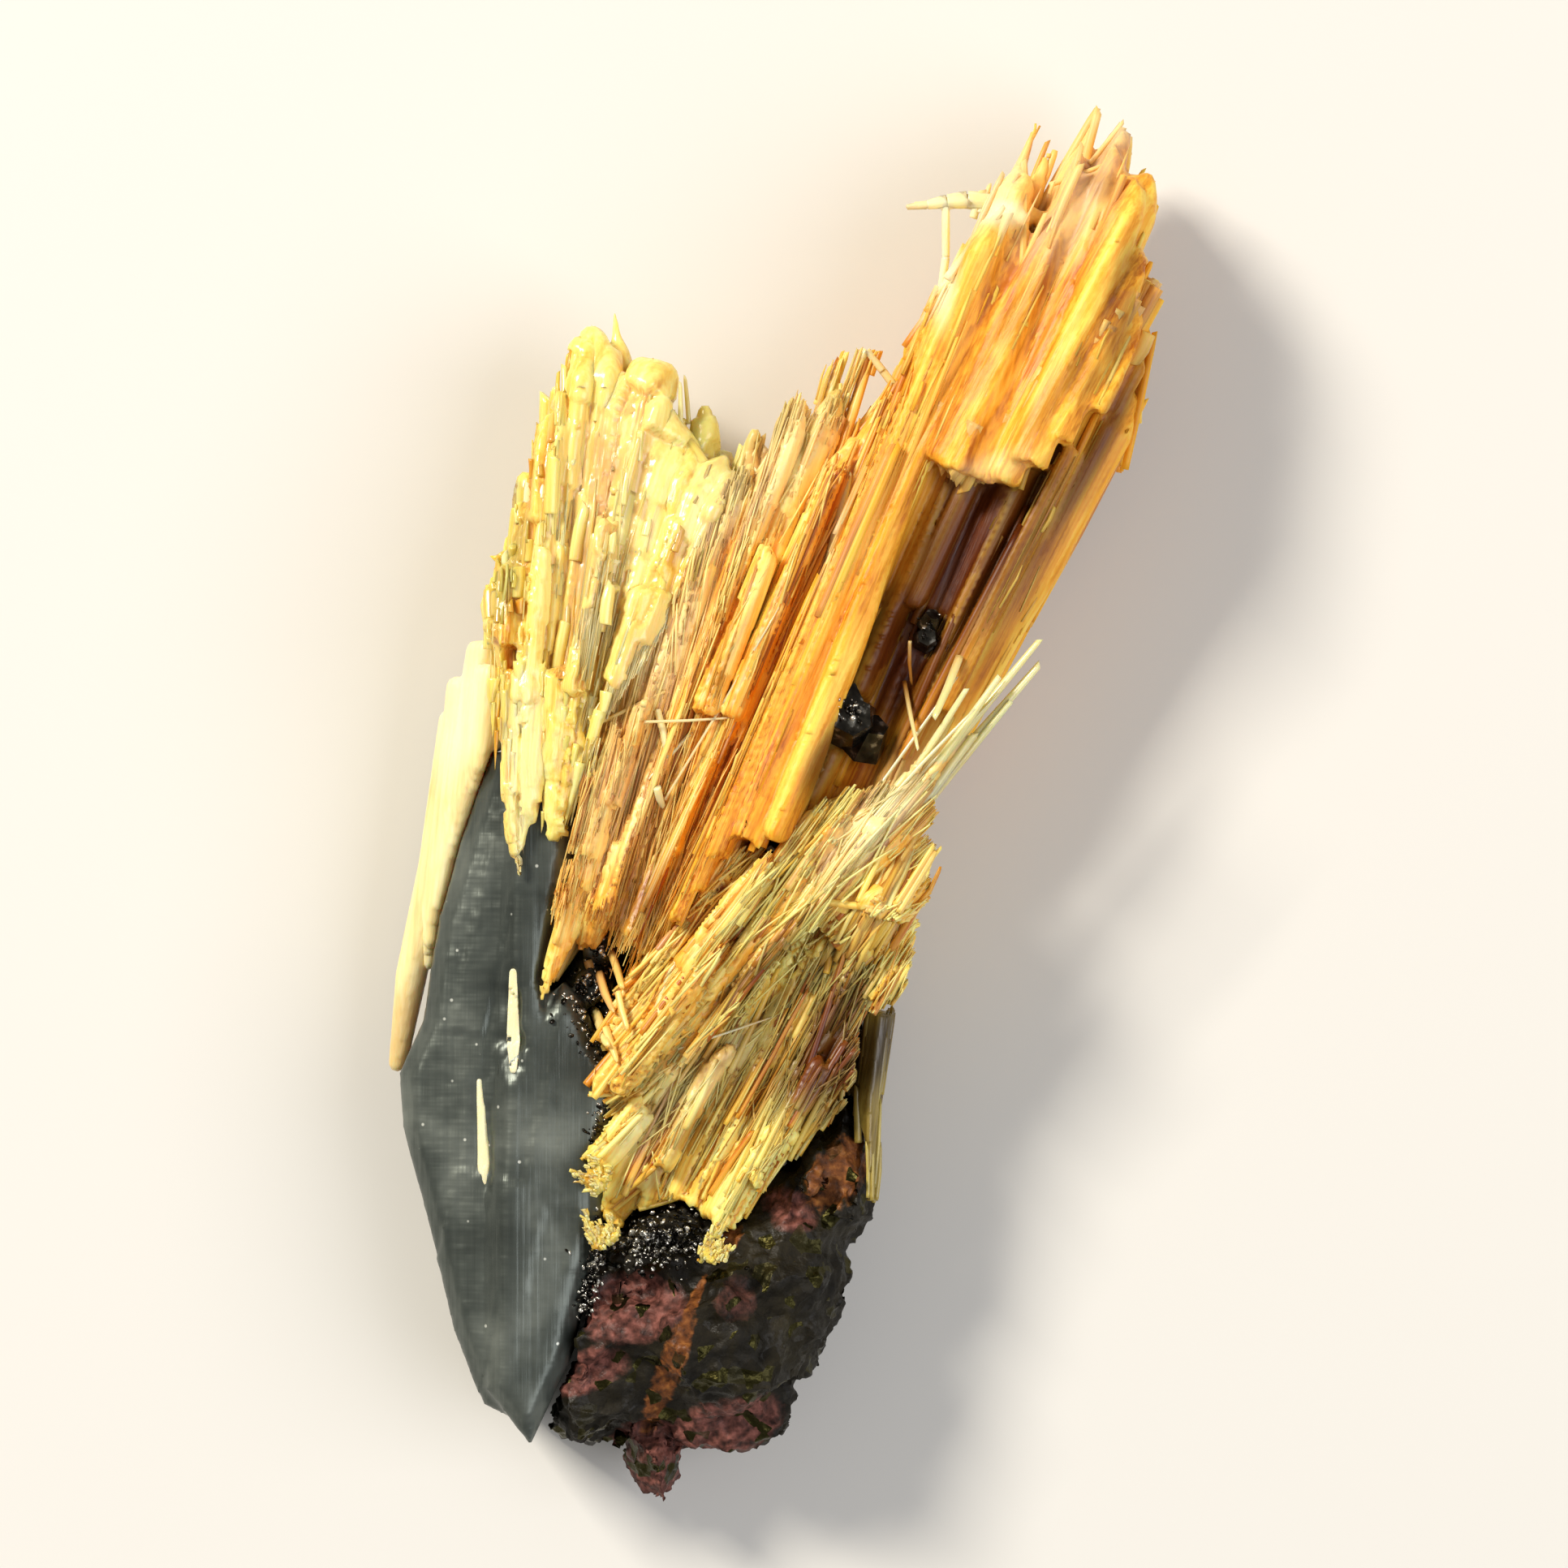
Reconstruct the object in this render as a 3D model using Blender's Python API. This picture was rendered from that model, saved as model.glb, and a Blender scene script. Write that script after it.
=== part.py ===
"""Rutile on hematite: golden rutile sheaves grown out of a steel-grey hematite blade on a hematite matrix.

The specimen lies on its back. +X is to the right and +Y up the specimen as it is seen from its front, and
+Z points out of its front. The origin is under the middle of its bounding box, on the surface it rests on.
Every number is in millimetres until make_object scales a finished mesh to metres.
"""

import math
import random

import bmesh
import bpy
from mathutils import Matrix, Vector, noise

MM = 0.001

# Driving dimensions
GAP = 0.2
BLADE_FRONT = 4.9
LEFT_TABLET_FRONT = 4.4
BLADE_BEVEL = 0.35
STRIP_FRONT = 6.9
RECESS_FRONT = 5.0
FAR = 14.0
SEED = 7

# A lath's cross-section, as shares of its width and of its depth: a ridge on its front and one on its back
SECTION = ((-0.5, 0.10), (0.0, 0.0), (0.5, 0.10), (0.5, 0.90), (0.0, 1.0), (-0.5, 0.90))
NEEDLE_SECTION = ((-0.5, 0.5), (0.0, 0.0), (0.5, 0.5), (0.0, 1.0))
RIDGE_WANDER = 0.28
SHOULDER = 0.9
LATH_OVERLAP = 1.5
THINNEST = 0.3
THIN_END = 0.08
SLANT = 1.2
SPIKE_WIDTH = 0.55
ROOT_OVERRUN = 0.7
UNEVEN = 0.3

# The shorter laths that stand in relief on a sheaf: how many, their sizes, and how deep they are rooted
RELIEF_COUNT = 5
RELIEF_WIDTHS = (0.4, 0.7)
RELIEF_PROUD = (0.25, 0.6)
RELIEF_FEET = (0.02, 0.45)
RELIEF_LENGTHS = (0.3, 0.6)
RELIEF_TOP = 0.93
RELIEF_ROOTED = 0.9

LUMP_SIZES = (1.85, 3.2)
TUFT_BLADES = 4
TUFT_SPREAD = 0.4
FLAT = math.radians(3)

GOLD = (0.80, 0.47, 0.12)
PALE_GOLD = (0.86, 0.66, 0.30)
OLIVE = (0.26, 0.18, 0.06)
STEEL = (0.085, 0.095, 0.09)
IRON_RED = (0.085, 0.045, 0.032)
BLACK = (0.02, 0.018, 0.016)


def clear_scene():
    for old in list(bpy.data.objects):
        bpy.data.objects.remove(old)


def finish(name, colour, roughness, metallic):
    """A plain material with the piece's own colour and shine."""
    material = bpy.data.materials.new(name)
    material.use_nodes = True
    shader = material.node_tree.nodes["Principled BSDF"]
    shader.inputs["Base Color"].default_value = (*colour, 1.0)
    shader.inputs["Roughness"].default_value = roughness
    shader.inputs["Metallic"].default_value = metallic
    return material


def make_object(name, bm):
    """An object of this bmesh, in metres, with its faces pointing out."""
    bmesh.ops.recalc_face_normals(bm, faces=bm.faces)
    mesh = bpy.data.meshes.new(name)
    bm.to_mesh(mesh)
    bm.free()
    thing = bpy.data.objects.new(name, mesh)
    bpy.context.scene.collection.objects.link(thing)
    return thing


# Solids


def crystal(centres, widths, backs, fronts, slant=0.0, ridge=0.0, section=SECTION):
    """A lath along these points in plan, from its back to its front at each; slant shears its end."""
    bm = bmesh.new()
    centres = [Vector(c) for c in centres]
    rings = []
    for i, centre in enumerate(centres):
        along = (centres[min(i + 1, len(centres) - 1)] - centres[max(i - 1, 0)]).normalized()
        across = Vector((along.y, -along.x))
        ring = []
        for share, height in section:
            offset = (share + (ridge if share == 0 else 0.0)) * widths[i]
            shear = slant * offset if i == len(centres) - 1 else 0.0
            at = centre + across * offset + along * shear
            ring.append(bm.verts.new((at.x, at.y, backs[i] + (fronts[i] - backs[i]) * height)))
        rings.append(ring)
    for near, far in zip(rings, rings[1:]):
        for k in range(len(section)):
            bm.faces.new((near[k], near[k - 1], far[k - 1], far[k]))
    bm.faces.new(rings[0])
    bm.faces.new(reversed(rings[-1]))
    return bm


def needle(points, widths):
    """A thin four-sided crystal through points in space."""
    flat = [(p[0], p[1]) for p in points]
    backs = [p[2] - w / 2 for p, w in zip(points, widths)]
    fronts = [p[2] + w / 2 for p, w in zip(points, widths)]
    return crystal(flat, widths, backs, fronts, section=NEEDLE_SECTION)


def shrunk(outline, by):
    """An outline moved inwards, whichever way round it runs."""
    area = sum(a[0] * b[1] - b[0] * a[1] for a, b in zip(outline, (*outline[1:], outline[0])))
    turn = 1 if area > 0 else -1
    points = [Vector(p) for p in outline]
    moved = []
    for i, here in enumerate(points):
        before = (here - points[i - 1]).normalized()
        after = (points[(i + 1) % len(points)] - here).normalized()
        inward = Vector((-before.y - after.y, before.x + after.x)).normalized() * turn
        lean = abs(inward.dot(Vector((-before.y, before.x))))
        moved.append(here + inward * by / max(0.4, lean))
    return moved


def tablet(outline, low, high, bevel, slope=0.0, grow=0.0):
    """A flat crystal of this outline with bevelled rims, whose front slopes along X. grow swells it."""
    bm = bmesh.new()
    wide, narrow = shrunk(outline, -grow), shrunk(outline, bevel - grow)
    middle = sum(p.x for p in wide) / len(wide)
    rings = []
    for line, height, sloped in (
        (narrow, low - grow, 0),
        (wide, low + bevel - grow, 0),
        (wide, high - bevel + grow, slope),
        (narrow, high + grow, slope),
    ):
        rings.append([bm.verts.new((p.x, p.y, height + sloped * (p.x - middle))) for p in line])
    for near, far in zip(rings, rings[1:]):
        for k in range(len(near)):
            bm.faces.new((near[k - 1], near[k], far[k], far[k - 1]))
    bm.faces.new(reversed(rings[0]))
    bm.faces.new(rings[-1])
    return bm


def lump(centre, radii, seed, grow=0.0, roughness=0.17):
    """A faceted lump of rock: a sphere pushed in and out by seeded noise, with finer facets when big."""
    bm = bmesh.new()
    finer = sum(max(radii) > size for size in LUMP_SIZES)
    bmesh.ops.create_icosphere(bm, subdivisions=1 + finer, radius=1.0)
    for v in bm.verts:
        broad = noise.noise(v.co * 1.7 + Vector((seed * 3.1, seed * 1.7, 0)))
        fine = noise.noise(v.co * 3.9 + Vector((0, seed * 2.3, seed)))
        reach = 1 + roughness * (2 * broad + fine)
        v.co = Vector(centre) + Vector(a * (b * reach + grow) for a, b in zip(v.co, radii))
    return bm


def grain(centre, size, seed, grow=0.0):
    """A small sharp crystal: a tapered six-sided prism turned at random."""
    dice = random.Random(seed)
    bm = bmesh.new()
    bmesh.ops.create_cone(
        bm,
        cap_ends=True,
        segments=6,
        radius1=size * 0.5 + grow,
        radius2=size * 0.34 + grow,
        depth=size * 0.7 + 2 * grow,
    )
    axis = Vector((dice.gauss(0, 1), dice.gauss(0, 1), 0.4))
    turn = Matrix.Rotation(dice.uniform(0, math.tau), 4, axis)
    bmesh.ops.transform(bm, matrix=Matrix.Translation(centre) @ turn, verts=bm.verts)
    return bm


def slab(outline, low=-FAR, high=FAR):
    """A plain upright block of this outline."""
    bm = bmesh.new()
    floor = bm.faces.new([bm.verts.new((x, y, low)) for x, y in outline])
    raised = bmesh.ops.extrude_face_region(bm, geom=[floor])["geom"]
    for v in raised:
        if isinstance(v, bmesh.types.BMVert):
            v.co.z = high
    return bm


# Joining and cutting


def volume_of(faces):
    """Six times the signed volume that these faces close in."""
    total = 0.0
    for face in faces:
        corners = [v.co for v in face.verts]
        for a, b in zip(corners[1:], corners[2:]):
            total += corners[0].dot(a.cross(b))
    return total


def keep_main_body(thing):
    """Keeps the largest closed shell: loose splinters and the sealed pockets inside it go."""
    bm = bmesh.new()
    bm.from_mesh(thing.data)
    left = set(bm.faces)
    shells = []
    while left:
        shell = [left.pop()]
        for face in shell:
            for edge in face.edges:
                for other in edge.link_faces:
                    if other in left:
                        left.discard(other)
                        shell.append(other)
        shells.append(shell)
    largest = max(shells, key=volume_of)
    spare = [f for shell in shells if shell is not largest for f in shell]
    bmesh.ops.delete(bm, geom=spare, context="FACES")
    bmesh.ops.dissolve_limit(bm, angle_limit=FLAT, verts=bm.verts, edges=bm.edges)
    bm.to_mesh(thing.data)
    bm.free()


def apply_modifiers(thing):
    """Makes the evaluated mesh the object's own."""
    bpy.context.view_layer.update()
    graph = bpy.context.evaluated_depsgraph_get()
    mesh = bpy.data.meshes.new_from_object(thing.evaluated_get(graph))
    thing.modifiers.clear()
    thing.data = mesh


def boolean(thing, operation, bmeshes):
    """Joins a solid with these, or cuts it with them, or keeps what lies inside them.

    The manifold solver is used because the exact one leaves open edges where dozens of slim laths cross.
    """
    others = [make_object(f"{thing.name}_{operation}_{i}", bm) for i, bm in enumerate(bmeshes)]
    crowd = bpy.data.collections.new(thing.name)
    for other in others:
        crowd.objects.link(other)
    step = thing.modifiers.new(operation.lower(), "BOOLEAN")
    step.operation = operation
    step.solver = "MANIFOLD"
    step.operand_type = "COLLECTION"
    step.collection = crowd
    apply_modifiers(thing)
    for other in others:
        bpy.data.objects.remove(other)
    bpy.data.collections.remove(crowd)


def fused(name, bmeshes):
    """One solid of all these overlapping crystals."""
    first, *rest = bmeshes
    thing = make_object(name, first)
    if rest:
        boolean(thing, "UNION", rest)
    return thing


# Hematite: a thick tabular blade, a twin of two tablets that meet in a shallow groove

LEFT_TABLET = (
    (-6.8, 1.3), (-7.6, -0.9), (-8.1, -2.7), (-8.5, -5.3), (-9.1, -6.6), (-9.0, -7.9), (-8.6, -9.3),
    (-8.1, -11.2), (-7.7, -12.9), (-7.0, -14.7), (-6.0, -15.2), (-5.4, -8.5), (-5.7, 1.3),
)
RIGHT_TABLET = (
    (-6.2, 2.9), (-6.6, -3.0), (-6.7, -6.5), (-6.8, -9.0), (-6.9, -14.3), (-5.9, -15.6), (-5.0, -13.7),
    (-4.6, -12.1), (-4.2, -10.1), (-4.2, -8.9), (-3.9, -7.7), (-3.7, -6.7), (-4.3, -5.7), (-4.7, -4.8),
    (-5.1, -4.4), (-5.6, -4.9), (-5.3, -3.3), (-5.0, -1.6), (-4.8, -0.3), (-4.5, 1.3), (-4.6, 2.9),
)
CAVITY_LUMPS = (
    (-4.2, -4.1, 1.9, 1.1, 1.2, 1.8),
    (-3.9, -5.6, 1.9, 1.0, 1.3, 1.8),
    (-3.9, -8.8, 2.4, 0.5, 1.4, 1.9),
)
BLADE_GRAINS = (
    (-4.2, -3.5, 3.5, 1.0), (-4.4, -4.4, 3.8, 0.9), (-3.9, -5.0, 3.5, 0.9), (-3.6, -6.3, 3.8, 0.9),
    (-3.8, -7.6, 4.1, 0.8),
)


def blade_solids(grow=0.0):
    left = tablet(LEFT_TABLET, 0.7, LEFT_TABLET_FRONT, BLADE_BEVEL, slope=0.18, grow=grow)
    right = tablet(RIGHT_TABLET, 0.0, BLADE_FRONT, BLADE_BEVEL, slope=-0.04, grow=grow)
    lumps = [lump(row[:3], row[3:], 60 + i, grow) for i, row in enumerate(CAVITY_LUMPS)]
    grains = [grain(row[:3], row[3], i, grow) for i, row in enumerate(BLADE_GRAINS)]
    return [right, left, *lumps, *grains]


# Matrix: lumps of iron-stained hematite rock, with small black crystals where it meets the rutile

MATRIX_LUMPS = (
    (-1.6, -12.7, 2.9, 3.2, 2.6, 3.3),
    (0.1, -11.5, 2.9, 2.0, 2.9, 2.9),
    (-4.1, -14.1, 2.4, 1.9, 1.9, 2.5),
    (-1.2, -14.6, 2.6, 2.0, 1.7, 2.4),
    (-2.85, -16.2, 2.3, 0.9, 1.15, 1.5),
    (1.5, -9.2, 2.8, 1.2, 2.1, 2.2),
    (-2.6, -11.0, 3.4, 1.5, 1.2, 2.3),
    (-4.8, -15.3, 1.9, 1.3, 0.7, 1.7),
    (-4.3, -12.0, 2.3, 1.1, 1.7, 2.3),
)
MATRIX_GRAINS = (
    (-3.4, -9.9, 4.9, 0.8), (-2.9, -10.3, 5.4, 0.9), (-2.2, -10.2, 5.2, 0.7), (-3.9, -10.9, 4.9, 0.7),
    (-1.7, -10.8, 5.6, 0.8), (-3.3, -11.1, 5.5, 0.7), (1.0, -9.2, 5.0, 0.9), (0.3, -9.9, 5.4, 0.8),
    (1.9, -9.9, 4.7, 0.8),
)


# A block under the floor, to trim the rock flat where it rests
UNDER = ((-FAR, -2 * FAR), (FAR, -2 * FAR), (FAR, 2 * FAR), (-FAR, 2 * FAR))


def matrix_solids(grow=0.0):
    lumps = [lump(row[:3], row[3:], i + 1, grow) for i, row in enumerate(MATRIX_LUMPS)]
    grains = [grain(row[:3], row[3], 20 + i, grow) for i, row in enumerate(MATRIX_GRAINS)]
    return [*lumps, *grains]


HEMATITE_CRYSTALS = (
    ("black_crystal_large", ((2.0, 2.15, 5.6, 1.5), (2.4, 1.75, 5.3, 1.2), (1.7, 2.6, 5.6, 1.0))),
    ("black_crystal_small", ((3.85, 4.15, 5.2, 0.7), (3.95, 4.6, 5.1, 0.6))),
)


def crystal_solids(rows, grow=0.0):
    return [grain((x, y, z), size, 40 + i, grow) for i, (x, y, z, size) in enumerate(rows)]


# Where one sheaf meets the next, as lines in plan

LEFT_TO_MIDDLE = (
    (-0.4, FAR), (-0.8, 8.1), (-2.0, 5.5), (-3.4, 3.3), (-4.3, 1.9), (-4.5, -0.1), (-4.9, -1.6),
)
MIDDLE_TO_LONG = (
    (3.3, FAR), (3.4, 10.6), (3.2, 10.1), (1.2, 5.5), (-0.4, 1.9), (-1.4, -0.3), (-2.3, -2.3),
    (-3.2, -3.9),
)
LONG_TO_LOWER = (
    (-3.2, -3.9), (-1.9, -2.8), (-1.0, -1.3), (0.2, -1.2), (1.2, -0.1), (2.2, 0.2), (3.6, 0.6),
    (FAR, 0.9),
)
LOWER_TO_TANGLED = (
    (-3.7, -7.1), (-3.0, -6.7), (-1.8, -5.9), (-1.0, -4.9), (0.2, -3.3), (1.8, -2.4), (3.7, -2.6),
    (FAR, -2.7),
)
SIDE_TO_LEFT = ((-6.6, 2.6), (-6.8, 4.1), (-FAR, 4.3))
TANGLED_TO_EDGE = ((FAR, -4.6), (3.1, -4.6), (2.1, -5.0), (1.85, -6.9), (1.4, -8.0))

GROUNDS = {
    "left_sheaf": (*LEFT_TO_MIDDLE, (-6.6, -1.9), *SIDE_TO_LEFT, (-FAR, FAR)),
    "side_blades": (*SIDE_TO_LEFT, (-FAR, -FAR), (-6.6, -FAR)),
    "middle_sheaf": (*LEFT_TO_MIDDLE, (-6.1, -5.6), *reversed(MIDDLE_TO_LONG)),
    "long_sheaf": (*MIDDLE_TO_LONG, *LONG_TO_LOWER[1:], (FAR, 2 * FAR), (3.3, 2 * FAR)),
    "lower_sheaf": (*LONG_TO_LOWER, *reversed(LOWER_TO_TANGLED), (-4.4, -7.1), (-4.4, -5.0)),
    "tangled_sheaf": (*LOWER_TO_TANGLED, *TANGLED_TO_EDGE, (0.6, -FAR), (-5.0, -FAR), (-5.0, -7.1)),
}


# Sheaves: laths run from a line of roots to a line of tips, and each sheaf has its own depth at both

SHEAVES = {
    "left_sheaf": {
        "roots": ((-6.7, 2.9), (-5.6, 1.6), (-4.3, -0.2)),
        "tips": (
            (-6.5, 6.0), (-6.0, 7.5), (-5.5, 9.4), (-5.1, 10.1), (-4.6, 11.4), (-4.1, 11.5), (-3.5, 10.5),
            (-2.9, 10.8), (-2.4, 9.4), (-2.0, 8.9), (-1.5, 8.5), (-1.0, 8.2),
        ),
        "backs": (1.2, 2.2),
        "fronts": (5.6, 4.8),
        "spikes": (((-3.7, 10.0), (-3.84, 12.3)), ((-2.1, 8.0), (-2.2, 9.7)), ((-1.65, 8.0), (-1.6, 9.9))),
        "blunt": 0.85,
        "overrun": 0.0,
    },
    "middle_sheaf": {
        "roots": ((-5.0, -1.2), (-4.4, -2.2), (-3.0, -3.6)),
        "tips": (
            (-3.5, 3.4), (-2.2, 5.4), (-1.1, 7.4), (-0.5, 8.3), (0.3, 8.9), (0.8, 9.9), (1.1, 9.2),
            (1.7, 10.1),
            (2.1, 9.0), (2.6, 9.7), (3.0, 10.1),
        ),
        "backs": (1.0, 2.0),
        "fronts": (5.4, 5.0),
        "spikes": (((-0.5, 7.8), (-0.36, 9.3)), ((1.2, 9.0), (1.8, 11.2)), ((0.2, 7.8), (0.9, 9.9))),
        "blunt": 0.3,
        "overrun": 0.0,
    },
    "long_sheaf": {
        "roots": ((-2.9, -3.5), (-1.0, -0.7), (1.2, 0.1), (4.2, 1.2)),
        "tips": (
            (3.6, 10.5), (4.0, 12.0), (4.5, 12.9), (5.1, 13.9), (5.8, 15.1), (6.3, 15.6), (6.7, 14.1),
            (7.2, 15.1), (7.7, 16.1), (8.4, 16.4), (8.8, 16.7), (9.1, 15.6), (8.9, 11.9), (8.8, 10.1),
        ),
        "backs": (-0.1, 1.7),
        "fronts": (RECESS_FRONT, RECESS_FRONT + 0.2),
        "spikes": (
            ((5.7, 14.4), (6.62, 16.95)), ((6.2, 14.4), (6.9, 16.2)), ((7.3, 15.2), (8.2, 17.25)),
            ((4.6, 12.2), (4.7, 13.2)),
        ),
        "blunt": 0.45,
        "overrun": ROOT_OVERRUN,
    },
    "lower_sheaf": {
        "roots": ((-3.1, -4.2), (-3.7, -6.0), (-3.7, -7.0), (-2.4, -6.4), (-1.0, -5.1), (2.0, -3.0)),
        "tips": (
            (-0.9, -1.0), (0.2, -1.2), (1.3, -0.2), (2.2, 0.1), (3.2, 0.3), (3.6, -0.9), (3.4, -1.3),
            (3.7, -1.9), (3.4, -2.5),
        ),
        "backs": (1.0, 1.4),
        "fronts": (5.6, 6.2),
        "spikes": (),
        "blunt": 0.4,
        "overrun": ROOT_OVERRUN,
    },
    "tangled_sheaf": {
        "roots": (
            (-3.7, -7.3), (-4.1, -8.9), (-3.6, -9.5), (-1.4, -10.5), (-0.2, -8.9), (1.0, -7.7),
            (1.8, -7.0),
        ),
        "tips": (
            (-1.8, -6.1), (-1.0, -5.1), (0.2, -3.5), (1.6, -2.6), (2.5, -2.7), (3.3, -2.9), (3.1, -4.0),
            (2.7, -5.0), (2.2, -6.4),
        ),
        "backs": (0.8, 1.2),
        "fronts": (4.8, 5.3),
        "spikes": (),
        "blunt": 0.4,
        "overrun": ROOT_OVERRUN,
    },
}

# The long sheaf's front layer: a strip down its left side, and what is left of it beyond a broken ledge
STRIP = (
    ((-2.5, -2.7), (3.7, 10.6)), ((-1.9, -1.9), (4.3, 12.3)), ((-1.3, -1.1), (4.9, 13.3)),
    ((-0.6, -0.8), (5.4, 14.2)), ((0.2, -0.7), (5.7, 14.5)),
)
BEYOND_LEDGE = (
    ((3.8, 8.6), (6.2, 14.6)), ((4.4, 8.3), (7.2, 14.7)), ((5.0, 8.1), (7.8, 15.6)),
    ((5.7, 8.0), (8.6, 16.1)),
    ((6.3, 8.4), (9.0, 15.3)), ((7.0, 9.0), (9.1, 13.6)), ((7.8, 9.8), (9.1, 12.4)),
)
LEDGE_FRONT = 6.6


def along(points, share):
    """The place at this share of a line's length."""
    points = [Vector(p) for p in points]
    lengths = [(b - a).length for a, b in zip(points, points[1:])]
    left = share * sum(lengths)
    for start, end, length in zip(points, points[1:], lengths):
        if left <= length:
            return start.lerp(end, left / length)
        left -= length
    return points[-1]


def lath(root, tip, widths, backs, fronts, dice, blunt=0.45):
    """A straight lath that keeps its width up to its shoulder and narrows to a slanted end."""
    root, tip = Vector(root), Vector(tip)
    share = 1 - min(0.25, SHOULDER / (tip - root).length)
    middle = [a + (b - a) * share for a, b in (widths, backs, fronts)]
    depth = fronts[1] - backs[1]
    return crystal(
        (root, root.lerp(tip, share), tip),
        (widths[0], middle[0], widths[1] * blunt),
        (backs[0], middle[1], backs[1] + depth * 0.12),
        (fronts[0], middle[2], fronts[1] - depth * 0.12),
        slant=dice.uniform(-SLANT, SLANT),
        ridge=dice.uniform(-RIDGE_WANDER, RIDGE_WANDER),
    )


def spacing(points, i, direction):
    """How far apart neighbours stand at this place, measured across a direction."""
    before, after = points[max(i - 1, 0)], points[min(i + 1, len(points) - 1)]
    steps = min(i + 1, len(points) - 1) - max(i - 1, 0)
    return abs((after - before).cross(direction)) / steps


def sheaf_solids(spec, dice):
    """A sheaf's deep laths side by side, its spikes, and shorter laths in relief on its front and back."""
    tips = [Vector(p) for p in spec["tips"]]
    roots = [along(spec["roots"], i / (len(tips) - 1)) for i in range(len(tips))]
    roots = [root + (root - tip).normalized() * spec["overrun"] for root, tip in zip(roots, tips)]
    back, front = spec["backs"], spec["fronts"]
    laths = []
    for i, (root, tip) in enumerate(zip(roots, tips)):
        direction = (tip - root).normalized()
        widths = [max(THINNEST, LATH_OVERLAP * spacing(line, i, direction)) for line in (roots, tips)]
        deep = dice.uniform(-UNEVEN, UNEVEN)
        proud = dice.uniform(-UNEVEN, UNEVEN)
        laths.append(
            lath(
                root,
                tip,
                widths,
                (back[0] + deep, back[1] + deep),
                (front[0] + proud, front[1] + proud),
                dice,
                spec["blunt"],
            )
        )
    middle = (back[1] + front[1]) / 2
    for foot, tip in spec["spikes"]:
        backs, fronts = (middle - 0.5, middle), (middle + 0.3, middle + 0.1)
        laths.append(crystal((foot, tip), (SPIKE_WIDTH, THIN_END), backs, fronts))
    for k in range(RELIEF_COUNT):
        share = (k + dice.uniform(0.2, 0.8)) / RELIEF_COUNT
        root, tip = along(roots, share), along(tips, share)
        foot_share = dice.uniform(*RELIEF_FEET)
        tip_share = min(RELIEF_TOP, foot_share + dice.uniform(*RELIEF_LENGTHS))
        width = dice.uniform(*RELIEF_WIDTHS)
        on_front = k % 3 != 2
        proud = dice.uniform(*RELIEF_PROUD)
        if on_front:
            highs = [front[0] + (front[1] - front[0]) * s + proud for s in (foot_share, tip_share)]
            lows = [high - proud - RELIEF_ROOTED for high in highs]
        else:
            lows = [back[0] + (back[1] - back[0]) * s - proud for s in (foot_share, tip_share)]
            highs = [low + proud + RELIEF_ROOTED for low in lows]
        foot, end = root.lerp(tip, foot_share), root.lerp(tip, tip_share)
        laths.append(crystal((foot, end), (width, width * 0.7), lows, highs, dice.uniform(-SLANT, SLANT)))
    return laths


def strip_solids(dice):
    """The long sheaf's front layer, which stands over the recess."""
    laths = []
    for foot, tip in STRIP:
        high = STRIP_FRONT + dice.uniform(-0.2, 0.2)
        laths.append(lath(foot, tip, (0.6, 0.7), (4.2, 3.6), (high, high - 0.9), dice))
    for foot, tip in BEYOND_LEDGE:
        high = LEDGE_FRONT + dice.uniform(-0.35, 0.25)
        laths.append(lath(foot, tip, (0.85, 0.75), (4.2, 3.6), (high, high - 1.0), dice, 0.6))
    return laths


LEFT_FINGERS = (
    ((-6.15, -1.75), (-6.4, 1.2), (-6.3, 3.4), 0.45),
    ((-6.05, -1.0), (-5.8, 1.0), (-5.9, 3.4), 0.42),
    ((-5.3, -0.7), (-4.9, 0.9), (-5.2, 3.4), 0.75),
)


def finger_solids():
    """Fingers of the left sheaf that run down over the blade's face to a point."""
    lows = (BLADE_FRONT - 0.1, BLADE_FRONT - 0.2, BLADE_FRONT - 0.6)
    highs = (BLADE_FRONT + GAP + 0.25, BLADE_FRONT + GAP + 0.6, BLADE_FRONT + GAP + 0.5)
    fingers = []
    for tip, waist, top, width in LEFT_FINGERS:
        fingers.append(crystal((tip, waist, top), (THIN_END, width, width * 1.5), lows, highs))
    return fingers


def wedge_solids():
    """The middle sheaf's broad wedge that narrows downwards between the blade and the cavity."""
    return [
        crystal(
            ((-5.75, -5.0), (-5.1, -2.7), (-4.4, -0.4)), (0.1, 0.9, 1.3), (3.0, 2.2, 2.0), (5.1, 5.3, 5.4)
        ),
        crystal(
            ((-4.5, -3.4), (-4.2, -2.4), (-3.7, -0.9)), (0.35, 0.9, 1.0), (2.6, 2.2, 2.0), (4.9, 5.3, 5.3)
        ),
    ]


def curled_solids():
    """The thin curled blade off the long sheaf's tip, with the needle that hangs from it."""
    blade = crystal(
        ((3.4, 14.85), (4.4, 14.95), (5.2, 15.0), (6.1, 14.75), (6.9, 14.5)),
        (0.18, 0.3, 0.45, 0.4, 0.3),
        (4.0, 3.95, 3.9, 3.9, 3.9),
        (4.15, 4.15, 4.15, 4.2, 4.3),
    )
    hanging = needle(
        ((4.36, 15.0, 4.05), (4.36, 13.6, 4.05), (4.2, 12.5, 4.05), (4.05, 11.6, 4.05)),
        (0.14, 0.14, 0.13, 0.12),
    )
    return [blade, hanging]


def bent_solids():
    """A long needle of the middle sheaf, snapped into a peak beside the long sheaf."""
    return [
        needle(
            ((1.5, 9.2, 4.0), (2.0, 10.5, 4.0), (2.4, 11.3, 4.0), (2.8, 10.8, 4.0), (3.1, 10.4, 4.0)),
            (0.3, 0.16, 0.13, 0.14, 0.14),
        )
    ]


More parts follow.
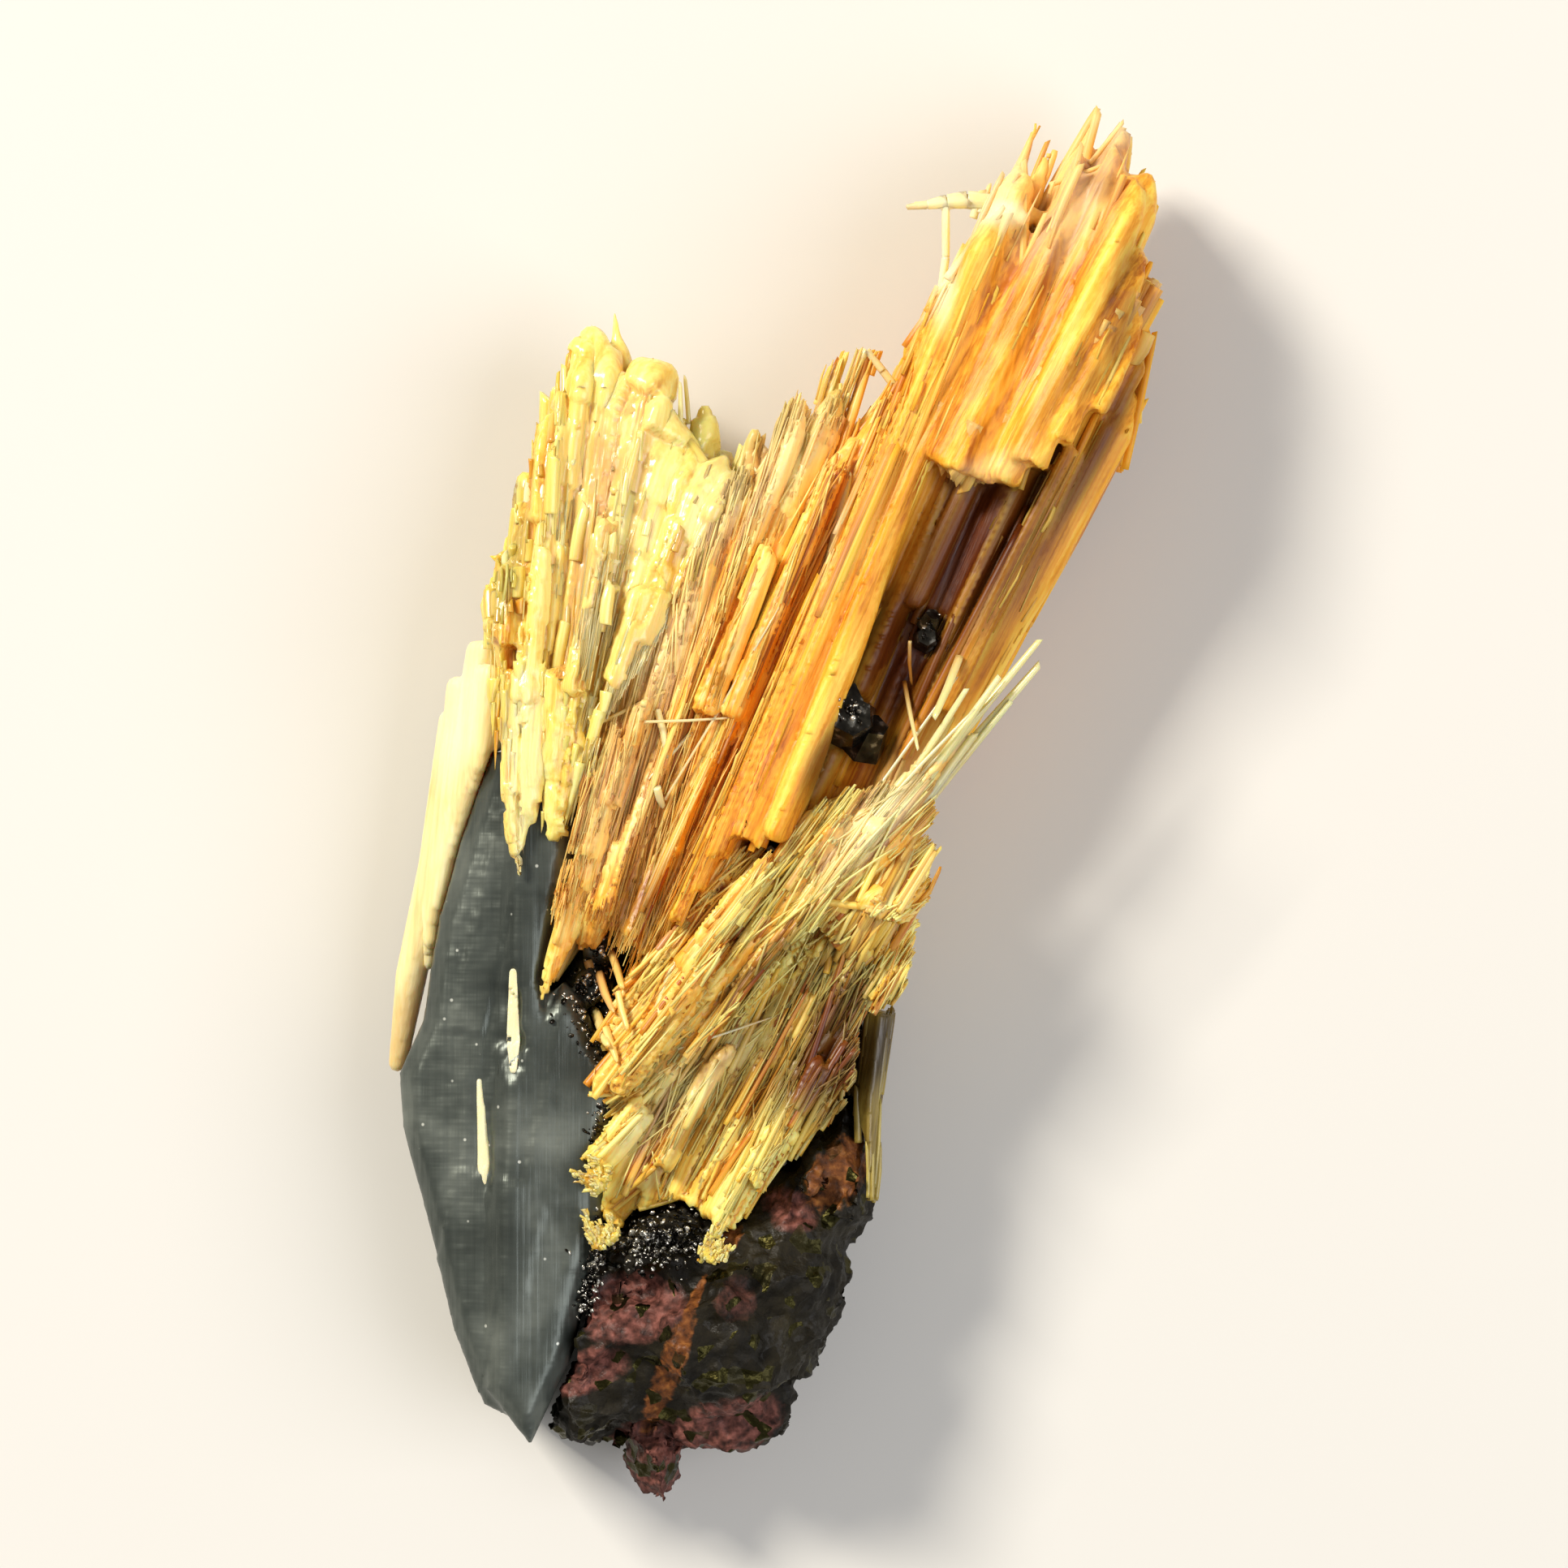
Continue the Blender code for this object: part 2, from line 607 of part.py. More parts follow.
SPRAY_ROOT = (1.4, -2.2, 5.9)
SPRAY_TIPS = (
    (6.6, 4.1, 6.0, 0.16), (6.6, 3.5, 5.8, 0.18), (5.6, 3.2, 6.4, 0.16), (4.8, 2.9, 6.5, 0.14),
    (5.9, 2.6, 5.9, 0.16), (5.0, 1.8, 6.0, 0.2), (4.4, 1.0, 5.8, 0.22), (4.1, 0.4, 5.6, 0.22),
)


def spray_solids():
    """Loose needles of the lower sheaf that fan out past its right side."""
    needles = []
    for i, (x, y, z, width) in enumerate(SPRAY_TIPS):
        root = Vector(SPRAY_ROOT) + Vector((0.13 * (i % 3), -0.11 * i, -0.07 * i))
        tip = Vector((x, y, z))
        needles.append(needle((root, root.lerp(tip, 0.6), tip), (0.5, width * 1.4, width * 0.6)))
    return needles


def on_its_ground(thing):
    """Keeps what lies on the piece's own side of the lines where it meets its neighbours."""
    boolean(thing, "INTERSECT", [slab(shrunk(GROUNDS[thing.name], GAP / 2), low=0.0)])
    return thing


def grow_sheaf(name, number, extra=(), later=()):
    """A sheaf cut to its own ground, with its loose needles added after the cut."""
    dice = random.Random(SEED + number)
    thing = fused(name, [*sheaf_solids(SHEAVES[name], dice), *extra])
    on_its_ground(thing)
    if later:
        keep_main_body(thing)
        boolean(thing, "UNION", later)
    return thing


# Blades


# Their places in plan from foot to top, then the width, the back and the front at each
SIDE_BLADES = (
    (
        ((-9.3, -6.5), (-8.95, -4.2), (-8.35, -1.4), (-7.8, 2.2)),
        (0.2, 0.5, 0.5, 0.6),
        (2.0, 1.7, 1.6, 1.8),
        (2.5, 3.0, 3.4, 3.4),
    ),
    (((-8.45, -5.4), (-8.25, -2.6), (-7.5, 3.1)), (0.1, 0.5, 0.75), (2.2, 2.2, 1.8), (3.1, 3.5, 3.9)),
    (((-8.0, -1.6), (-7.6, 0.2), (-7.0, 4.1)), (0.3, 0.8, 0.7), (1.9, 1.6, 1.6), (3.5, 4.0, 4.3)),
    (((-7.5, -0.2), (-7.1, 1.0), (-6.85, 3.4)), (0.2, 0.6, 0.6), (2.2, 1.8, 1.8), (3.8, 4.4, 4.6)),
)


def side_solids():
    """Tan blades along the hematite blade's left flank, each narrowing to a point at its foot."""
    return [crystal(*row) for row in SIDE_BLADES]


INLAID_BLADES = (
    ((-6.3, -6.5), (-6.3, -4.0), 0.26, BLADE_FRONT),
    ((-7.0, -9.7), (-7.15, -6.7), 0.28, 4.45),
)


def inlaid_solid(foot, top, width, front, grow=0.0):
    """A slender blade set in the hematite's face, pointed at both ends."""
    foot, top = Vector(foot), Vector(top)
    reach = (top - foot).normalized() * grow
    return crystal(
        (foot - reach, foot.lerp(top, 0.3), top + reach),
        (0.1 + grow, width + 2 * grow, 0.1 + grow),
        (front - 0.3 - grow, front - 0.45 - grow, front - 0.3 - grow),
        (front + 0.05 + grow, front + 0.12 + grow, front + 0.05 + grow),
    )


def edge_solids():
    """The thin olive sheets down the lower right edge."""
    return [
        crystal(
            ((2.45, -9.6), (2.45, -7.2), (2.73, -5.1)), (0.3, 0.45, 0.55), (1.8, 2.0, 2.6), (4.4, 4.6, 4.4)
        ),
        crystal(
            ((2.2, -9.0), (2.25, -7.2), (2.45, -5.6)), (0.3, 0.45, 0.5), (1.2, 1.4, 1.8), (3.6, 3.8, 3.6)
        ),
    ]


TUFTS = (
    ((-4.1, -9.4, 5.4), 1.9),
    ((-4.2, -10.8, 5.4), 1.3),
    ((-1.7, -10.9, 6.4), 0.4),
)


def tuft_solids(root, angle):
    """A small fan of stubby crystals."""
    blades = []
    for i in range(TUFT_BLADES):
        turn = angle + (i - (TUFT_BLADES - 1) / 2) * TUFT_SPREAD
        reach = 0.7 + 0.15 * (i % 2)
        tip = Vector(root) + Vector((math.cos(turn), math.sin(turn), 0.2)) * reach
        blades.append(needle((root, Vector(root).lerp(tip, 0.6), tip), (0.34, 0.3, 0.12)))
    return blades


def cut(thing, bmeshes):
    boolean(thing, "DIFFERENCE", bmeshes)


def main():
    clear_scene()
    gold = finish("golden rutile", GOLD, 0.38, 0.0)
    pale = finish("pale rutile", PALE_GOLD, 0.35, 0.0)
    olive = finish("olive rutile", OLIVE, 0.4, 0.0)
    steel = finish("tabular hematite", STEEL, 0.3, 0.85)
    rock = finish("iron-stained hematite", IRON_RED, 0.6, 0.3)
    black = finish("black hematite crystal", BLACK, 0.2, 0.6)

    blade = fused("hematite_blade", blade_solids())
    cut(blade, [inlaid_solid(*row, grow=GAP) for row in INLAID_BLADES])
    matrix = fused("hematite_matrix", matrix_solids())
    cut(matrix, [slab(UNDER, high=0.0)])
    cut(matrix, blade_solids(GAP))

    strip_dice = random.Random(SEED)
    pieces = {
        "left_sheaf": grow_sheaf("left_sheaf", 1, finger_solids()),
        "middle_sheaf": grow_sheaf("middle_sheaf", 2, wedge_solids(), bent_solids()),
        "long_sheaf": grow_sheaf("long_sheaf", 3, strip_solids(strip_dice), curled_solids()),
        "lower_sheaf": grow_sheaf("lower_sheaf", 4, (), spray_solids()),
        "tangled_sheaf": grow_sheaf("tangled_sheaf", 5),
        "side_blades": on_its_ground(fused("side_blades", side_solids())),
        "edge_blade": fused("edge_blade", edge_solids()),
    }
    for i, row in enumerate(TUFTS):
        name = f"rutile_tuft_{i + 1}"
        pieces[name] = fused(name, tuft_solids(*row))
    for piece in pieces.values():
        cut(piece, blade_solids(GAP))
        cut(piece, matrix_solids(GAP))
    for name, rows in HEMATITE_CRYSTALS:
        cut(pieces["long_sheaf"], crystal_solids(rows, GAP))

    crystals = [fused(name, crystal_solids(rows)) for name, rows in HEMATITE_CRYSTALS]
    inlays = [fused(f"inlaid_blade_{i + 1}", [inlaid_solid(*row)]) for i, row in enumerate(INLAID_BLADES)]
    finishes = {steel: [blade], rock: [matrix], black: crystals, olive: [pieces["edge_blade"]]}
    finishes[pale] = [pieces["left_sheaf"], pieces["side_blades"], *inlays]
    finishes[gold] = [p for p in pieces.values() if p not in finishes[pale] and p not in finishes[olive]]
    for material, things in finishes.items():
        for thing in things:
            keep_main_body(thing)
            thing.data.transform(Matrix.Scale(MM, 4))
            thing.data.materials.clear()
            thing.data.materials.append(material)


main()
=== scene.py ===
import math
from functools import partial

import bmesh
import bpy
import numpy as np
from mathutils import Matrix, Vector
from mathutils.bvhtree import BVHTree


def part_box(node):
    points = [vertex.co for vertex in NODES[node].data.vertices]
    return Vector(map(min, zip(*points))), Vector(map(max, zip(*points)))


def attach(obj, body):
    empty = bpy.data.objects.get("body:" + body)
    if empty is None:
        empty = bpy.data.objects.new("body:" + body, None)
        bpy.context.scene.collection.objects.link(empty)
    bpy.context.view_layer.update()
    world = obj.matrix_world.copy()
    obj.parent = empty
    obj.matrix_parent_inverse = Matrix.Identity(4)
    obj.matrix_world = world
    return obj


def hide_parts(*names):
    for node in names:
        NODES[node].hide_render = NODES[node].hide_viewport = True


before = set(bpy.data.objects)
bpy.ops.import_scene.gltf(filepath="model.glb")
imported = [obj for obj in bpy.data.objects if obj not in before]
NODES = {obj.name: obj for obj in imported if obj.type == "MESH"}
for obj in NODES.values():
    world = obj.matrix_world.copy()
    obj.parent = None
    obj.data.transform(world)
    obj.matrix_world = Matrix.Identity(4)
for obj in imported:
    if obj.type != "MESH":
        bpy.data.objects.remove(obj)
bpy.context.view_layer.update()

# Every size and place below is in millimetres in the row frame; MM turns it to metres where a mesh is made
MM = 0.001

# How a node's surfaces are read: the grid in plan, the border round it, where a ray starts beyond it, and
# how many grid steps its heights are carried on past its outline
GRID = 0.1
BORDER = 0.6
CLEAR = 1
SPREAD = 3

# A crystal is read at this many stations and ends where the surface breaks by BREAK. Bands differ in shade.
STATIONS = 14
BREAK = 0.3
SHORTEST = 0.25
BANDS = 26
BAND_SHADE = 0.45
SHADE_LIMIT = 1.2
FLATNESS = 0.9

# A wall is steep where its normal rises less than STEEP, and it is followed in strides
STEEP = 0.6
STRIDE = 0.2
WALL_OFFSET = 0.08

# The lines a fan is drawn with, how much of the height counts across it, and the lanes of its ridges
FAN_LINES = 200
HEIGHT_ACROSS = 0.6
LANES = 97
LANE_WAVES = ((0.3, 2.1), (0.15, 5.3))

# Points nearer than this, in metres, are one
GLUE = 0.00001


# Small helpers


def linear(hex_colour):
    """An sRGB hex colour as the linear values that shaders read."""
    parts = [int(hex_colour[i : i + 2], 16) / 255 for i in (1, 3, 5)]
    return tuple(p / 12.92 if p <= 0.04045 else ((p + 0.055) / 1.055) ** 2.4 for p in parts) + (1.0,)


def plug(node, inputs):
    """Fills a node's inputs: an output is linked, a hex colour is made linear and other values are set."""
    for key, value in inputs.items():
        if isinstance(value, bpy.types.NodeSocket):
            node.id_data.links.new(value, node.inputs[key])
        else:
            node.inputs[key].default_value = linear(value) if isinstance(value, str) else value


def add_node(tree, kind, output, inputs, stops=(), **settings):
    """Adds a node with its settings, links and colour stops, and gives the output asked for."""
    node = tree.nodes.new("ShaderNode" + kind)
    for key, value in settings.items():
        setattr(node, key, value)
    plug(node, inputs)
    for k, (place, colour) in enumerate(stops):
        mark = node.color_ramp.elements[k] if k < 2 else node.color_ramp.elements.new(place)
        mark.position = place
        mark.color = linear(colour)
    return node.outputs[output]


def new_material(name):
    """A material, its shader, and add_node for its own tree."""
    material = bpy.data.materials.new(name)
    material.use_nodes = True
    tree = material.node_tree
    return material, tree.nodes["Principled BSDF"], partial(add_node, tree)


def per_metre(*sizes):
    """Cycles per metre for pattern sizes in millimetres."""
    return tuple(1 / (size * MM) for size in sizes)


# A colour Mix node has its factor at input 0, its colours at 6 and 7, and its colour result at output 2
FACTOR, FIRST, SECOND, MIXED = 0, 6, 7, 2


# Materials


def rutile(name, deep, middle, light, pale, stain_and_shade, roughness, glow, gloss):
    """Rutile in parallel crystals: silky, with fine lengthwise striations and a warm glow where it is thin.

    Each crystal carries its own coordinates in "grain" and its own shade in "tone". "stain" is iron-brown
    staining and painted shade in gaps, hollows and the recess, "pale" is how pale and waxy it is and "olive"
    is the green of its thin clear rims.
    """
    material, shader, add = new_material(name)
    grain = add("Attribute", "Vector", {}, attribute_name="grain")
    tone, stain_and_shade_amount, paled, greened = (
        add("Attribute", "Fac", {}, attribute_name=n) for n in ("tone", "stain_and_shade", "pale", "olive")
    )
    hair = add("Mapping", "Vector", {"Vector": grain, "Scale": per_metre(0.09, 0.09, 2.2)})
    fine = add("TexNoise", "Fac", {"Vector": hair, "Scale": 1.0, "Detail": 3.0})
    band = add("Mapping", "Vector", {"Vector": grain, "Scale": per_metre(0.4, 0.4, 2.4)})
    broad = add("TexNoise", "Fac", {"Vector": band, "Scale": 1.0, "Detail": 2.0})
    streak = add("Math", 0, {0: fine, 1: broad}, operation="ADD")
    shade = add("Math", 0, {0: tone, 1: 0.5, 2: streak}, operation="MULTIPLY_ADD")
    place = add("MapRange", "Result", {"Value": shade, "From Min": 0.55, "From Max": 1.45})
    colour = add("ValToRGB", "Color", {"Fac": place}, ((0.0, deep), (1.0, light), (0.5, middle)))
    # The stain colour is multiplied in for real staining and for painted shade alike
    coats = (paled, pale, "MIX"), (greened, RIM_GREEN, "MIX"), (stain_and_shade_amount, stain_and_shade, "MULTIPLY")
    for amount, over, blend in coats:
        mixing = {FACTOR: amount, FIRST: colour, SECOND: over}
        colour = add("Mix", MIXED, mixing, data_type="RGBA", blend_type=blend)
    rough = add("MapRange", "Result", {"Value": fine, "To Min": roughness - 0.08, "To Max": roughness + 0.14})
    bump = add("Bump", "Normal", {"Height": fine, "Strength": 0.5, "Distance": 0.03 * MM})
    plug(shader, {"Base Color": colour, "Roughness": rough, "Normal": bump})
    plug(shader, {"IOR": 1.6, "Specular IOR Level": gloss, "Subsurface Weight": glow})
    plug(shader, {"Subsurface Radius": (1.0, 0.6, 0.2), "Subsurface Scale": 0.6 * MM})
    return material


def hematite_face():
    """Tabular hematite: satin steel-grey metal, cloudy where it is etched, ruled by fine growth lines."""
    material, shader, add = new_material("satin hematite")
    place = add("TexCoord", "Object", {})
    cloud = add("TexNoise", "Fac", {"Vector": place, "Scale": per_metre(2.4)[0], "Detail": 4.0})
    ruling = {"Vector": place, "Rotation": (0, 0, math.radians(-35)), "Scale": per_metre(0.14, 5.0, 1.0)}
    ruled = add("Mapping", "Vector", ruling)
    lines = add("TexNoise", "Fac", {"Vector": ruled, "Scale": 1.0, "Detail": 3.0})
    level = add("Mapping", "Vector", {"Vector": place, "Scale": per_metre(3.0, 0.3, 1.0)})
    cross = add("TexNoise", "Fac", {"Vector": level, "Scale": 1.0, "Detail": 2.0})
    near = add("TexVoronoi", "Distance", {"Vector": place, "Scale": per_metre(0.55)[0]})
    speck = {"Value": near, "From Min": 0.05, "From Max": 0.09, "To Min": 1.0, "To Max": 0.0}
    spot = add("MapRange", "Result", speck)
    colour = add("ValToRGB", "Color", {"Fac": cloud}, ((0.3, "#2b302c"), (0.75, "#7d837b"), (0.5, "#444a45")))
    faint = add("Math", 0, {0: lines, 1: 0.5}, operation="MULTIPLY")
    dark = add("Attribute", "Fac", {}, attribute_name="stain_and_shade")
    # The last coat paints the cavity nearly black: painted shade in the hollow and the black of its crystals
    for amount, over in ((faint, "#6c736d"), (spot, "#c9ccc2"), (dark, "#14110d")):
        colour = add("Mix", MIXED, {FACTOR: amount, FIRST: colour, SECOND: over}, data_type="RGBA")
    satin = {"Value": cloud, "From Min": 0.3, "From Max": 0.7, "To Min": 0.28, "To Max": 0.46}
    rough = add("MapRange", "Result", satin)
    relief = add("Math", 0, {0: lines, 1: cross}, operation="ADD")
    bump = add("Bump", "Normal", {"Height": relief, "Strength": 0.5, "Distance": 0.04 * MM})
    plug(shader, {"Base Color": colour, "Roughness": rough, "Normal": bump, "Metallic": 0.6})
    return material


def matrix_rock():
    """Massive hematite rock: dull red-brown and ochre stains over dark olive-brown, with small metal plates."""
    material, shader, add = new_material("iron-stained hematite rock")
    place = add("TexCoord", "Object", {})
    red, ochre = (add("Attribute", "Fac", {}, attribute_name=n) for n in ("stain_and_shade", "pale"))
    patchy = {"Vector": place, "Scale": per_metre(1.1)[0], "Detail": 5.0, "Roughness": 0.65}
    patch = add("TexNoise", "Fac", patchy)
    crumb = add("TexNoise", "Fac", {"Vector": place, "Scale": per_metre(0.22)[0], "Detail": 4.0})
    plates = add("TexVoronoi", "Color", {"Vector": place, "Scale": per_metre(0.4)[0]})
    rows = (
        (patch, ((0.3, "#0a0804"), (0.85, "#342e16"), (0.5, "#171308"), (0.66, "#221d0d"))),
        (crumb, ((0.3, "#28140f"), (0.75, "#925c52"), (0.5, "#5c362e"))),
        (crumb, ((0.3, "#341c0c"), (0.75, "#9a6430"), (0.55, "#6b3d1a"))),
    )
    colour, rust, gold = (add("ValToRGB", "Color", {"Fac": pattern}, stops) for pattern, stops in rows)
    for amount, pattern, coat in ((red, patch, rust), (ochre, crumb, gold)):
        broken = add("Math", 0, {0: amount, 1: pattern}, operation="ADD")
        edge = add("MapRange", "Result", {"Value": broken, "From Min": 0.85, "From Max": 1.15})
        colour = add("Mix", MIXED, {FACTOR: edge, FIRST: colour, SECOND: coat}, data_type="RGBA")
    shine = add("SeparateColor", "Red", {"Color": plates})
    metal = add("MapRange", "Result", {"Value": shine, "From Min": 0.8, "From Max": 0.86})
    colour = add("Mix", MIXED, {FACTOR: metal, FIRST: colour, SECOND: "#38351c"}, data_type="RGBA")
    rough = add("MapRange", "Result", {"Value": shine, "To Min": 0.85, "To Max": 0.3})
    bump = add("Bump", "Normal", {"Height": crumb, "Strength": 0.8, "Distance": 0.08 * MM})
    plug(shader, {"Base Color": colour, "Roughness": rough, "Metallic": metal, "Normal": bump})
    plug(shader, {"Specular IOR Level": 0.25})
    return material


def black_hematite():
    """Small euhedral hematite: black, glassy to metallic, with sharp facets, some painted near-white as glints
    by crystal.
    """
    material, shader, add = new_material("black hematite crystals")
    place = add("TexCoord", "Object", {})
    painted_glint_noise = add("TexNoise", "Fac", {"Vector": place, "Scale": per_metre(0.35)[0], "Detail": 3.0})
    tone = add("Attribute", "Fac", {}, attribute_name="tone")
    shade = add("Math", 0, {0: tone, 1: 0.3, 2: painted_glint_noise}, operation="MULTIPLY_ADD")
    # The pale end of this ramp is a painted glint on the brightest crystals
    stops = (0.35, "#1a1713"), (0.8, "#e6e4da"), (0.58, "#3d3a33")
    colour = add("ValToRGB", "Color", {"Fac": shade}, stops)
    plug(shader, {"Base Color": colour, "Metallic": 0.8, "Roughness": 0.2})
    return material


def floor_paper():
    """Smooth pale studio paper."""
    material, shader, add = new_material("pale paper")
    plug(shader, {"Base Color": "#d9d8d3", "Roughness": 0.9})
    return material


# The green of thin clear rutile
RIM_GREEN = "#a3a04e"

# Each finish is a material and the slot that it fills. A rutile's five colours are its deep, middle and light
# shades, what it is where it is pale, and what its stains and painted shade are multiplied by; then roughness,
# glow and gloss.
GOLDEN = (
    rutile("golden rutile", "#b85f0a", "#fdb942", "#ffe880", "#fdf4c0", "#7a4820", 0.34, 0.25, 0.35),
    "golden_rutile",
)
STRAW = (
    rutile("straw-gold rutile", "#c0680c", "#fdc84e", "#fff48c", "#fffac8", "#6e4424", 0.34, 0.3, 0.35),
    "golden_rutile",
)
AMBER = (
    rutile("amber rutile", "#bd670c", "#f7ac30", "#ffd45a", "#f8eab8", "#5c3c24", 0.38, 0.3, 0.2),
    "golden_rutile",
)
PALE = (
    rutile("pale waxy rutile", "#d08a1c", "#f2cd58", "#fbee90", "#fdf6c2", "#c08040", 0.2, 0.5, 0.5),
    "pale_rutile",
)
BUTTER = (
    rutile("butter-coloured rutile", "#e2bf74", "#f6e09a", "#fff2bc", "#fff8d4", "#c8a070", 0.36, 0.4, 0.5),
    "pale_rutile",
)
OLIVE = (
    rutile("olive rutile", "#5c4a18", "#8f7a34", "#b9a552", "#dccf8c", "#5a4a22", 0.3, 0.2, 0.5),
    "olive_rutile",
)
STEEL = hematite_face(), "tabular_hematite"
ROCK = matrix_rock(), "iron_stained_hematite"
BLACK = black_hematite(), "black_hematite"


# The surfaces that the crystals grow along


def survey(node):
    """Back and front heights of a CAD node on a grid in plan, spread a little past its outline."""
    mesh = NODES[node].data
    tree = BVHTree.FromPolygons([v.co / MM for v in mesh.vertices], [p.vertices for p in mesh.polygons])
    low, high = (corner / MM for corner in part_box(node))
    xs = np.arange(low.x - BORDER, high.x + BORDER, GRID)
    ys = np.arange(low.y - BORDER, high.y + BORDER, GRID)
    heights = np.full((2, len(xs), len(ys)), np.nan)
    rays = ((low.z - CLEAR, Vector((0, 0, 1))), (high.z + CLEAR, Vector((0, 0, -1))))
    for i, x in enumerate(xs):
        for j, y in enumerate(ys):
            for side, (start, way) in enumerate(rays):
                hit = tree.ray_cast(Vector((x, y, start)), way)[0]
                if hit:
                    heights[side, i, j] = hit.z
    for _ in range(SPREAD):
        near = [np.roll(heights, step, axis) for step in (-1, 1) for axis in (1, 2)]
        back = np.fmin.reduce([n[0] for n in near])
        front = np.fmax.reduce([n[1] for n in near])
        heights = np.where(np.isnan(heights), np.stack((back, front)), heights)
    return {"corner": (xs[0], ys[0]), "heights": heights}


def heights_at(relief, x, y):
    """Back and front heights at these places, or nan outside the node."""
    grid = relief["heights"]
    i = np.rint((x - relief["corner"][0]) / GRID).astype(int)
    j = np.rint((y - relief["corner"][1]) / GRID).astype(int)
    inside = (i >= 0) & (j >= 0) & (i < grid.shape[1]) & (j < grid.shape[2])
    i, j = np.where(inside, i, 0), np.where(inside, j, 0)
    return np.where(inside, grid[:, i, j], np.nan)


# One crystal, modelled once, and the meshes made of its copies


def model_crystal(name, sides, loops):
    """A prism one unit wide, deep and long with extra loops along it: (corners, faces) to copy."""
    bpy.ops.object.select_all(action="DESELECT")
    bpy.ops.mesh.primitive_cylinder_add(vertices=sides, radius=0.5, depth=1, location=(0, 0, 0.5))
    prism = bpy.context.object
    bpy.ops.object.transform_apply(location=True)
    bpy.ops.object.mode_set(mode="EDIT")
    for height in loops:
        bpy.ops.mesh.select_all(action="SELECT")
        bpy.ops.mesh.bisect(plane_co=(0, 0, height), plane_no=(0, 0, 1))
    bpy.ops.object.mode_set(mode="OBJECT")
    corners = np.array([v.co for v in prism.data.vertices])
    faces = [list(p.vertices) for p in prism.data.polygons]
    bpy.data.objects.remove(prism)
    return corners, faces


NEEDLE = model_crystal("needle", 4, (0.7,))
LATH = model_crystal("lath", 6, (0.06, 0.5, 0.9))
COLUMN = model_crystal("column", 8, (0.04, 0.3, 0.6, 0.9, 0.97))


def unit(vectors):
    return vectors / np.maximum(np.linalg.norm(vectors, axis=-1, keepdims=True), 1e-9)


def turned(x, y, degrees):
    """The same places as their way along and across a line at this angle."""
    turn = math.radians(degrees)
    return x * math.cos(turn) + y * math.sin(turn), y * math.cos(turn) - x * math.sin(turn)


def blots(points, patches):
    """How deep each point lies in soft-edged patches: (x, y, half length, half width, angle, strength)."""
    total = np.zeros(len(points))
    for x, y, length, width, angle, strength in patches:
        along, across = turned(points[:, 0] - x, points[:, 1] - y, angle)
        shape = (along / length) ** 2 + (across / width) ** 2
        total = np.maximum(total, strength * np.exp(-(shape**2)))
    return total


def mesh_of_copies(name, places, faces, count, size):
    """An object of this many copies of a pattern of faces, whose corners are all given in places."""
    ring = np.concatenate([np.array(f) for f in faces])
    starts = np.concatenate(([0], np.cumsum([len(f) for f in faces])[:-1]))
    loops = (np.arange(count)[:, None] * size + ring[None, :]).ravel()
    starts = (np.arange(count)[:, None] * len(ring) + starts[None, :]).ravel()
    mesh = bpy.data.meshes.new(name)
    mesh.vertices.add(count * size)
    mesh.vertices.foreach_set("co", (places * MM).ravel())
    mesh.loops.add(len(loops))
    mesh.loops.foreach_set("vertex_index", loops)
    mesh.polygons.add(len(starts))
    mesh.polygons.foreach_set("loop_start", starts)
    mesh.update(calc_edges=True)
    thing = bpy.data.objects.new(name, mesh)
    bpy.context.scene.collection.objects.link(thing)
    return thing


# Where the rutile is stained or shaded, pale or olive: (x, y, half length, half width, angle, strength)
# Many of these darkening patches are painted shade in gaps, pits and hollows; the rest are brown stains
STAINS_AND_SHADE = (
    (-4.2, 8.4, 0.9, 0.3, 85, 0.35), (-4.6, 5.9, 0.8, 0.35, 80, 0.3), (-3.2, -2.3, 0.9, 0.45, 65, 0.7),
    (-0.9, 3.9, 1.2, 0.1, 66, 0.4), (8.6, 12.3, 1.7, 0.4, 80, 0.55),
    (7.6, 10.5, 0.7, 0.5, 60, 0.4), (6.0, 11.9, 1.0, 0.3, 65, 0.35), (8.2, 15.2, 0.4, 0.4, 0, 0.4),
    (8.0, 8.7, 3.0, 0.3, 62, 0.85), (6.6, 9.6, 1.4, 0.3, 62, 0.4), (-0.2, -3.8, 2.0, 0.25, 46, 0.8),
    (2.1, -3.7, 0.4, 0.4, 0, 0.6), (0.5, -6.7, 1.3, 0.5, 45, 0.6), (-2.6, -7.5, 0.5, 0.4, 0, 0.5),
    (2.0, -4.6, 0.8, 0.4, 60, 0.5), (1.6, -7.2, 1.0, 0.5, 60, 0.7), (-2.9, -9.2, 0.7, 0.25, 50, 0.5),
    (-9.2, -5.6, 1.2, 0.5, 80, 0.4), (1.4, 1.2, 1.3, 0.4, 62, 0.85), (-0.3, -6.2, 1.1, 0.4, 50, 0.6),
    (1.6, -5.0, 1.5, 0.6, 55, 1.0), (5.2, 10.6, 0.8, 0.3, 62, 0.3), (7.2, 13.6, 1.2, 0.3, 64, 0.3),
    (1.3, -6.3, 1.8, 0.9, 45, 1.0), (2.6, -6.0, 1.4, 0.6, 60, 0.9), (-1.2, -6.0, 1.6, 0.16, 50, 0.5),
    (-0.2, -5.2, 1.8, 0.14, 48, 0.6), (-2.6, -6.3, 1.0, 0.14, 45, 0.5), (0.9, -4.4, 1.6, 0.16, 52, 0.8),
    (-2.0, -8.0, 1.2, 0.2, 48, 0.5), (-3.4, 1.6, 2.4, 0.7, 62, 0.12),
    (-1.16, -2.0, 0.25, 0.14, 40, 1.0), (0.4, -1.48, 0.25, 0.14, 60, 1.0),
    (-0.8, -3.18, 0.3, 0.14, 45, 1.0), (-4.4, -3.6, 0.9, 0.6, 60, 0.5),
)
